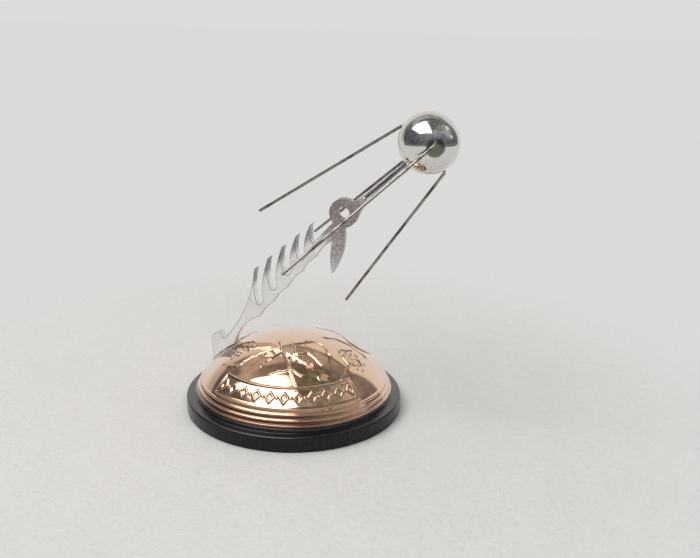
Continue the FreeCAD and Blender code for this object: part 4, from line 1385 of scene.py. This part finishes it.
    def surroundings(self, scene, settings):
        """Dim room in front, grey ceiling, pale backdrop behind; the camera sees only pale.

        Places on the ceiling are worked out as the way's level parts over its rise.
        """
        world = bpy.data.worlds.new("surroundings")
        world.use_nodes = True
        scene.world = world
        nodes = Nodes(world.node_tree)
        way = nodes.add("ShaderNodeTexCoord").outputs["Generated"]
        rise = nodes.parts(way)["Z"]
        pan = settings.camera_pan
        behind = nodes.vector("DOT_PRODUCT", way, (math.sin(pan), math.cos(pan), 0.0))
        aside = nodes.vector("DOT_PRODUCT", way, (math.cos(pan), -math.sin(pan), 0.0))
        uneven = nodes.noise(way, 5.0, 4.0, 0.6)
        room = nodes.mix(nodes.span(rise, 0.12, 0.55), settings.room,
                         settings.room_high)
        room = nodes.vector("SCALE", room, scale=nodes.span(aside, -0.95, -0.45, 0.62, 1.0))
        lit = nodes.span(nodes.less(behind, nodes.times(aside, 0.9)),
                         -0.05, 0.3)
        ceiling = nodes.mix(lit, settings.room_high, settings.ceiling)
        room = nodes.mix(nodes.span(rise, 0.6, 0.72), room, ceiling)
        room = nodes.vector("SCALE", room, scale=nodes.span(uneven, 0.35, 0.65, 0.72, 1.3))
        overhead = nodes.most(rise, 0.05)
        across = nodes.math("DIVIDE", aside, overhead)
        toward = nodes.math("DIVIDE", behind, overhead)
        wobble = nodes.times(nodes.less(uneven, 0.5), 0.8)
        across = nodes.plus(across, wobble)
        blind = nodes.times(nodes.span(toward, 0.13, 0.17), nodes.span(toward, 0.42, 0.34))
        blind = nodes.times(blind, nodes.times(
            nodes.span(across, -0.75, -0.3), nodes.span(across, 0.5, 0.3)))
        room = nodes.mix(nodes.times(blind, nodes.span(uneven, 0.3, 0.6, 0.5, 0.9)),
                         room, (0.10, 0.095, 0.09))
        leaves = nodes.span(nodes.noise(way, 11.0, 4.0, 0.75), 0.42, 0.6)
        foliage = nodes.mix(leaves, (0.13, 0.14, 0.125), (0.52, 0.55, 0.54))
        thick = nodes.mix(nodes.times(leaves, 0.45), (0.09, 0.105, 0.07),
                          (0.36, 0.40, 0.39))
        foliage = nodes.mix(nodes.span(across, 0.35, 0.65), thick, foliage)
        garden = nodes.times(nodes.span(across, 0.02, 0.14), nodes.span(across, 1.55, 1.25))
        garden = nodes.times(garden, nodes.times(
            nodes.span(toward, -1.0, -0.8), nodes.span(toward, 0.3, 0.15)))
        room = nodes.mix(garden, room, foliage)
        for turn, height, reach, tint in PATCHES:
            spot = self.patch(nodes, way, pan, turn, height, reach, 0.4 * reach)
            room = nodes.mix(nodes.times(spot, nodes.span(uneven, 0.4, 0.55, 0.5, 1.0)),
                             room, tint)
        slant = nodes.less(aside, nodes.times(rise, 0.5))
        wall = nodes.mix(nodes.span(slant, -0.92, -0.66), settings.shade,
                         settings.backdrop)
        flat = nodes.math("SQRT", nodes.less(1.0001, nodes.math("POWER", rise, 2.0)))
        leaning = nodes.times(
            nodes.span(aside, 0.0, -0.3), nodes.less(0.3, nodes.times(rise, 0.85)))
        turned = nodes.span(nodes.plus(nodes.math("DIVIDE", behind, flat), leaning),
                            0.56, 0.63)
        steep = nodes.plus(1.0, nodes.times(nodes.most(aside, 0.0), 0.5))
        over = nodes.less(rise, nodes.times(behind, steep))
        trim = nodes.times(nodes.span(over, -0.02, 0.02), nodes.span(over, 0.12, 0.05))
        room = nodes.mix(nodes.times(nodes.times(trim, turned), 0.6), room,
                         (0.12, 0.11, 0.11))
        low = nodes.span(over, 0.02, -0.02)
        walls = nodes.mix(nodes.times(turned, low), room, wall)
        below = nodes.mix(nodes.span(rise, -0.06, 0.0), settings.floor, walls)
        seen = nodes.add("ShaderNodeLightPath").outputs["Is Camera Ray"]
        back = nodes.add("ShaderNodeBackground")
        nodes.put(back.inputs["Color"], nodes.mix(seen, below, settings.distance))
        output = nodes.add("ShaderNodeOutputWorld")
        nodes.put(output.inputs["Surface"], back.outputs[0])


# ---------------------------------------------------------------- add-on
SETTINGS = (
    ("satellite_base", BaseSettings, "Base"),
    ("satellite_dome", DomeSettings, "Dome"),
    ("satellite_strut", StrutSettings, "Strut"),
    ("satellite_ball", BallSettings, "Ball"),
    ("satellite_wire", WireSettings, "Antennas"),
    ("satellite_stage", StageSettings, "Stage"),
)
OPERATORS = (
    SATELLITE_OT_stage,
    SATELLITE_OT_base,
    SATELLITE_OT_screw,
    SATELLITE_OT_dome,
    SATELLITE_OT_strut,
    SATELLITE_OT_ball,
    SATELLITE_OT_antennas,
)


class SATELLITE_PT_model(bpy.types.Panel):
    """Lists the model's pieces and their settings"""
    bl_label = "Satellite desk model"
    bl_space_type = "VIEW_3D"
    bl_region_type = "UI"
    bl_category = "Satellite"

    def draw(self, context):
        layout = self.layout
        for operator in OPERATORS:
            layout.operator(operator.bl_idname)
        for name, group, label in SETTINGS:
            box = layout.box()
            box.label(text=label)
            for prop in group.__annotations__:
                box.prop(getattr(context.scene, name), prop)


def register():
    for name, group, _ in SETTINGS:
        bpy.utils.register_class(group)
        setattr(bpy.types.Scene, name, PointerProperty(type=group))
    for item in (*OPERATORS, SATELLITE_PT_model):
        bpy.utils.register_class(item)


def unregister():
    for item in reversed((*OPERATORS, SATELLITE_PT_model)):
        bpy.utils.unregister_class(item)
    for name, group, _ in reversed(SETTINGS):
        delattr(bpy.types.Scene, name)
        bpy.utils.unregister_class(group)


def main():
    """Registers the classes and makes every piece."""
    register()
    for operator in OPERATORS:
        family, name = operator.bl_idname.split(".")
        getattr(getattr(bpy.ops, family), name)()


if __name__ == "__main__":
    main()
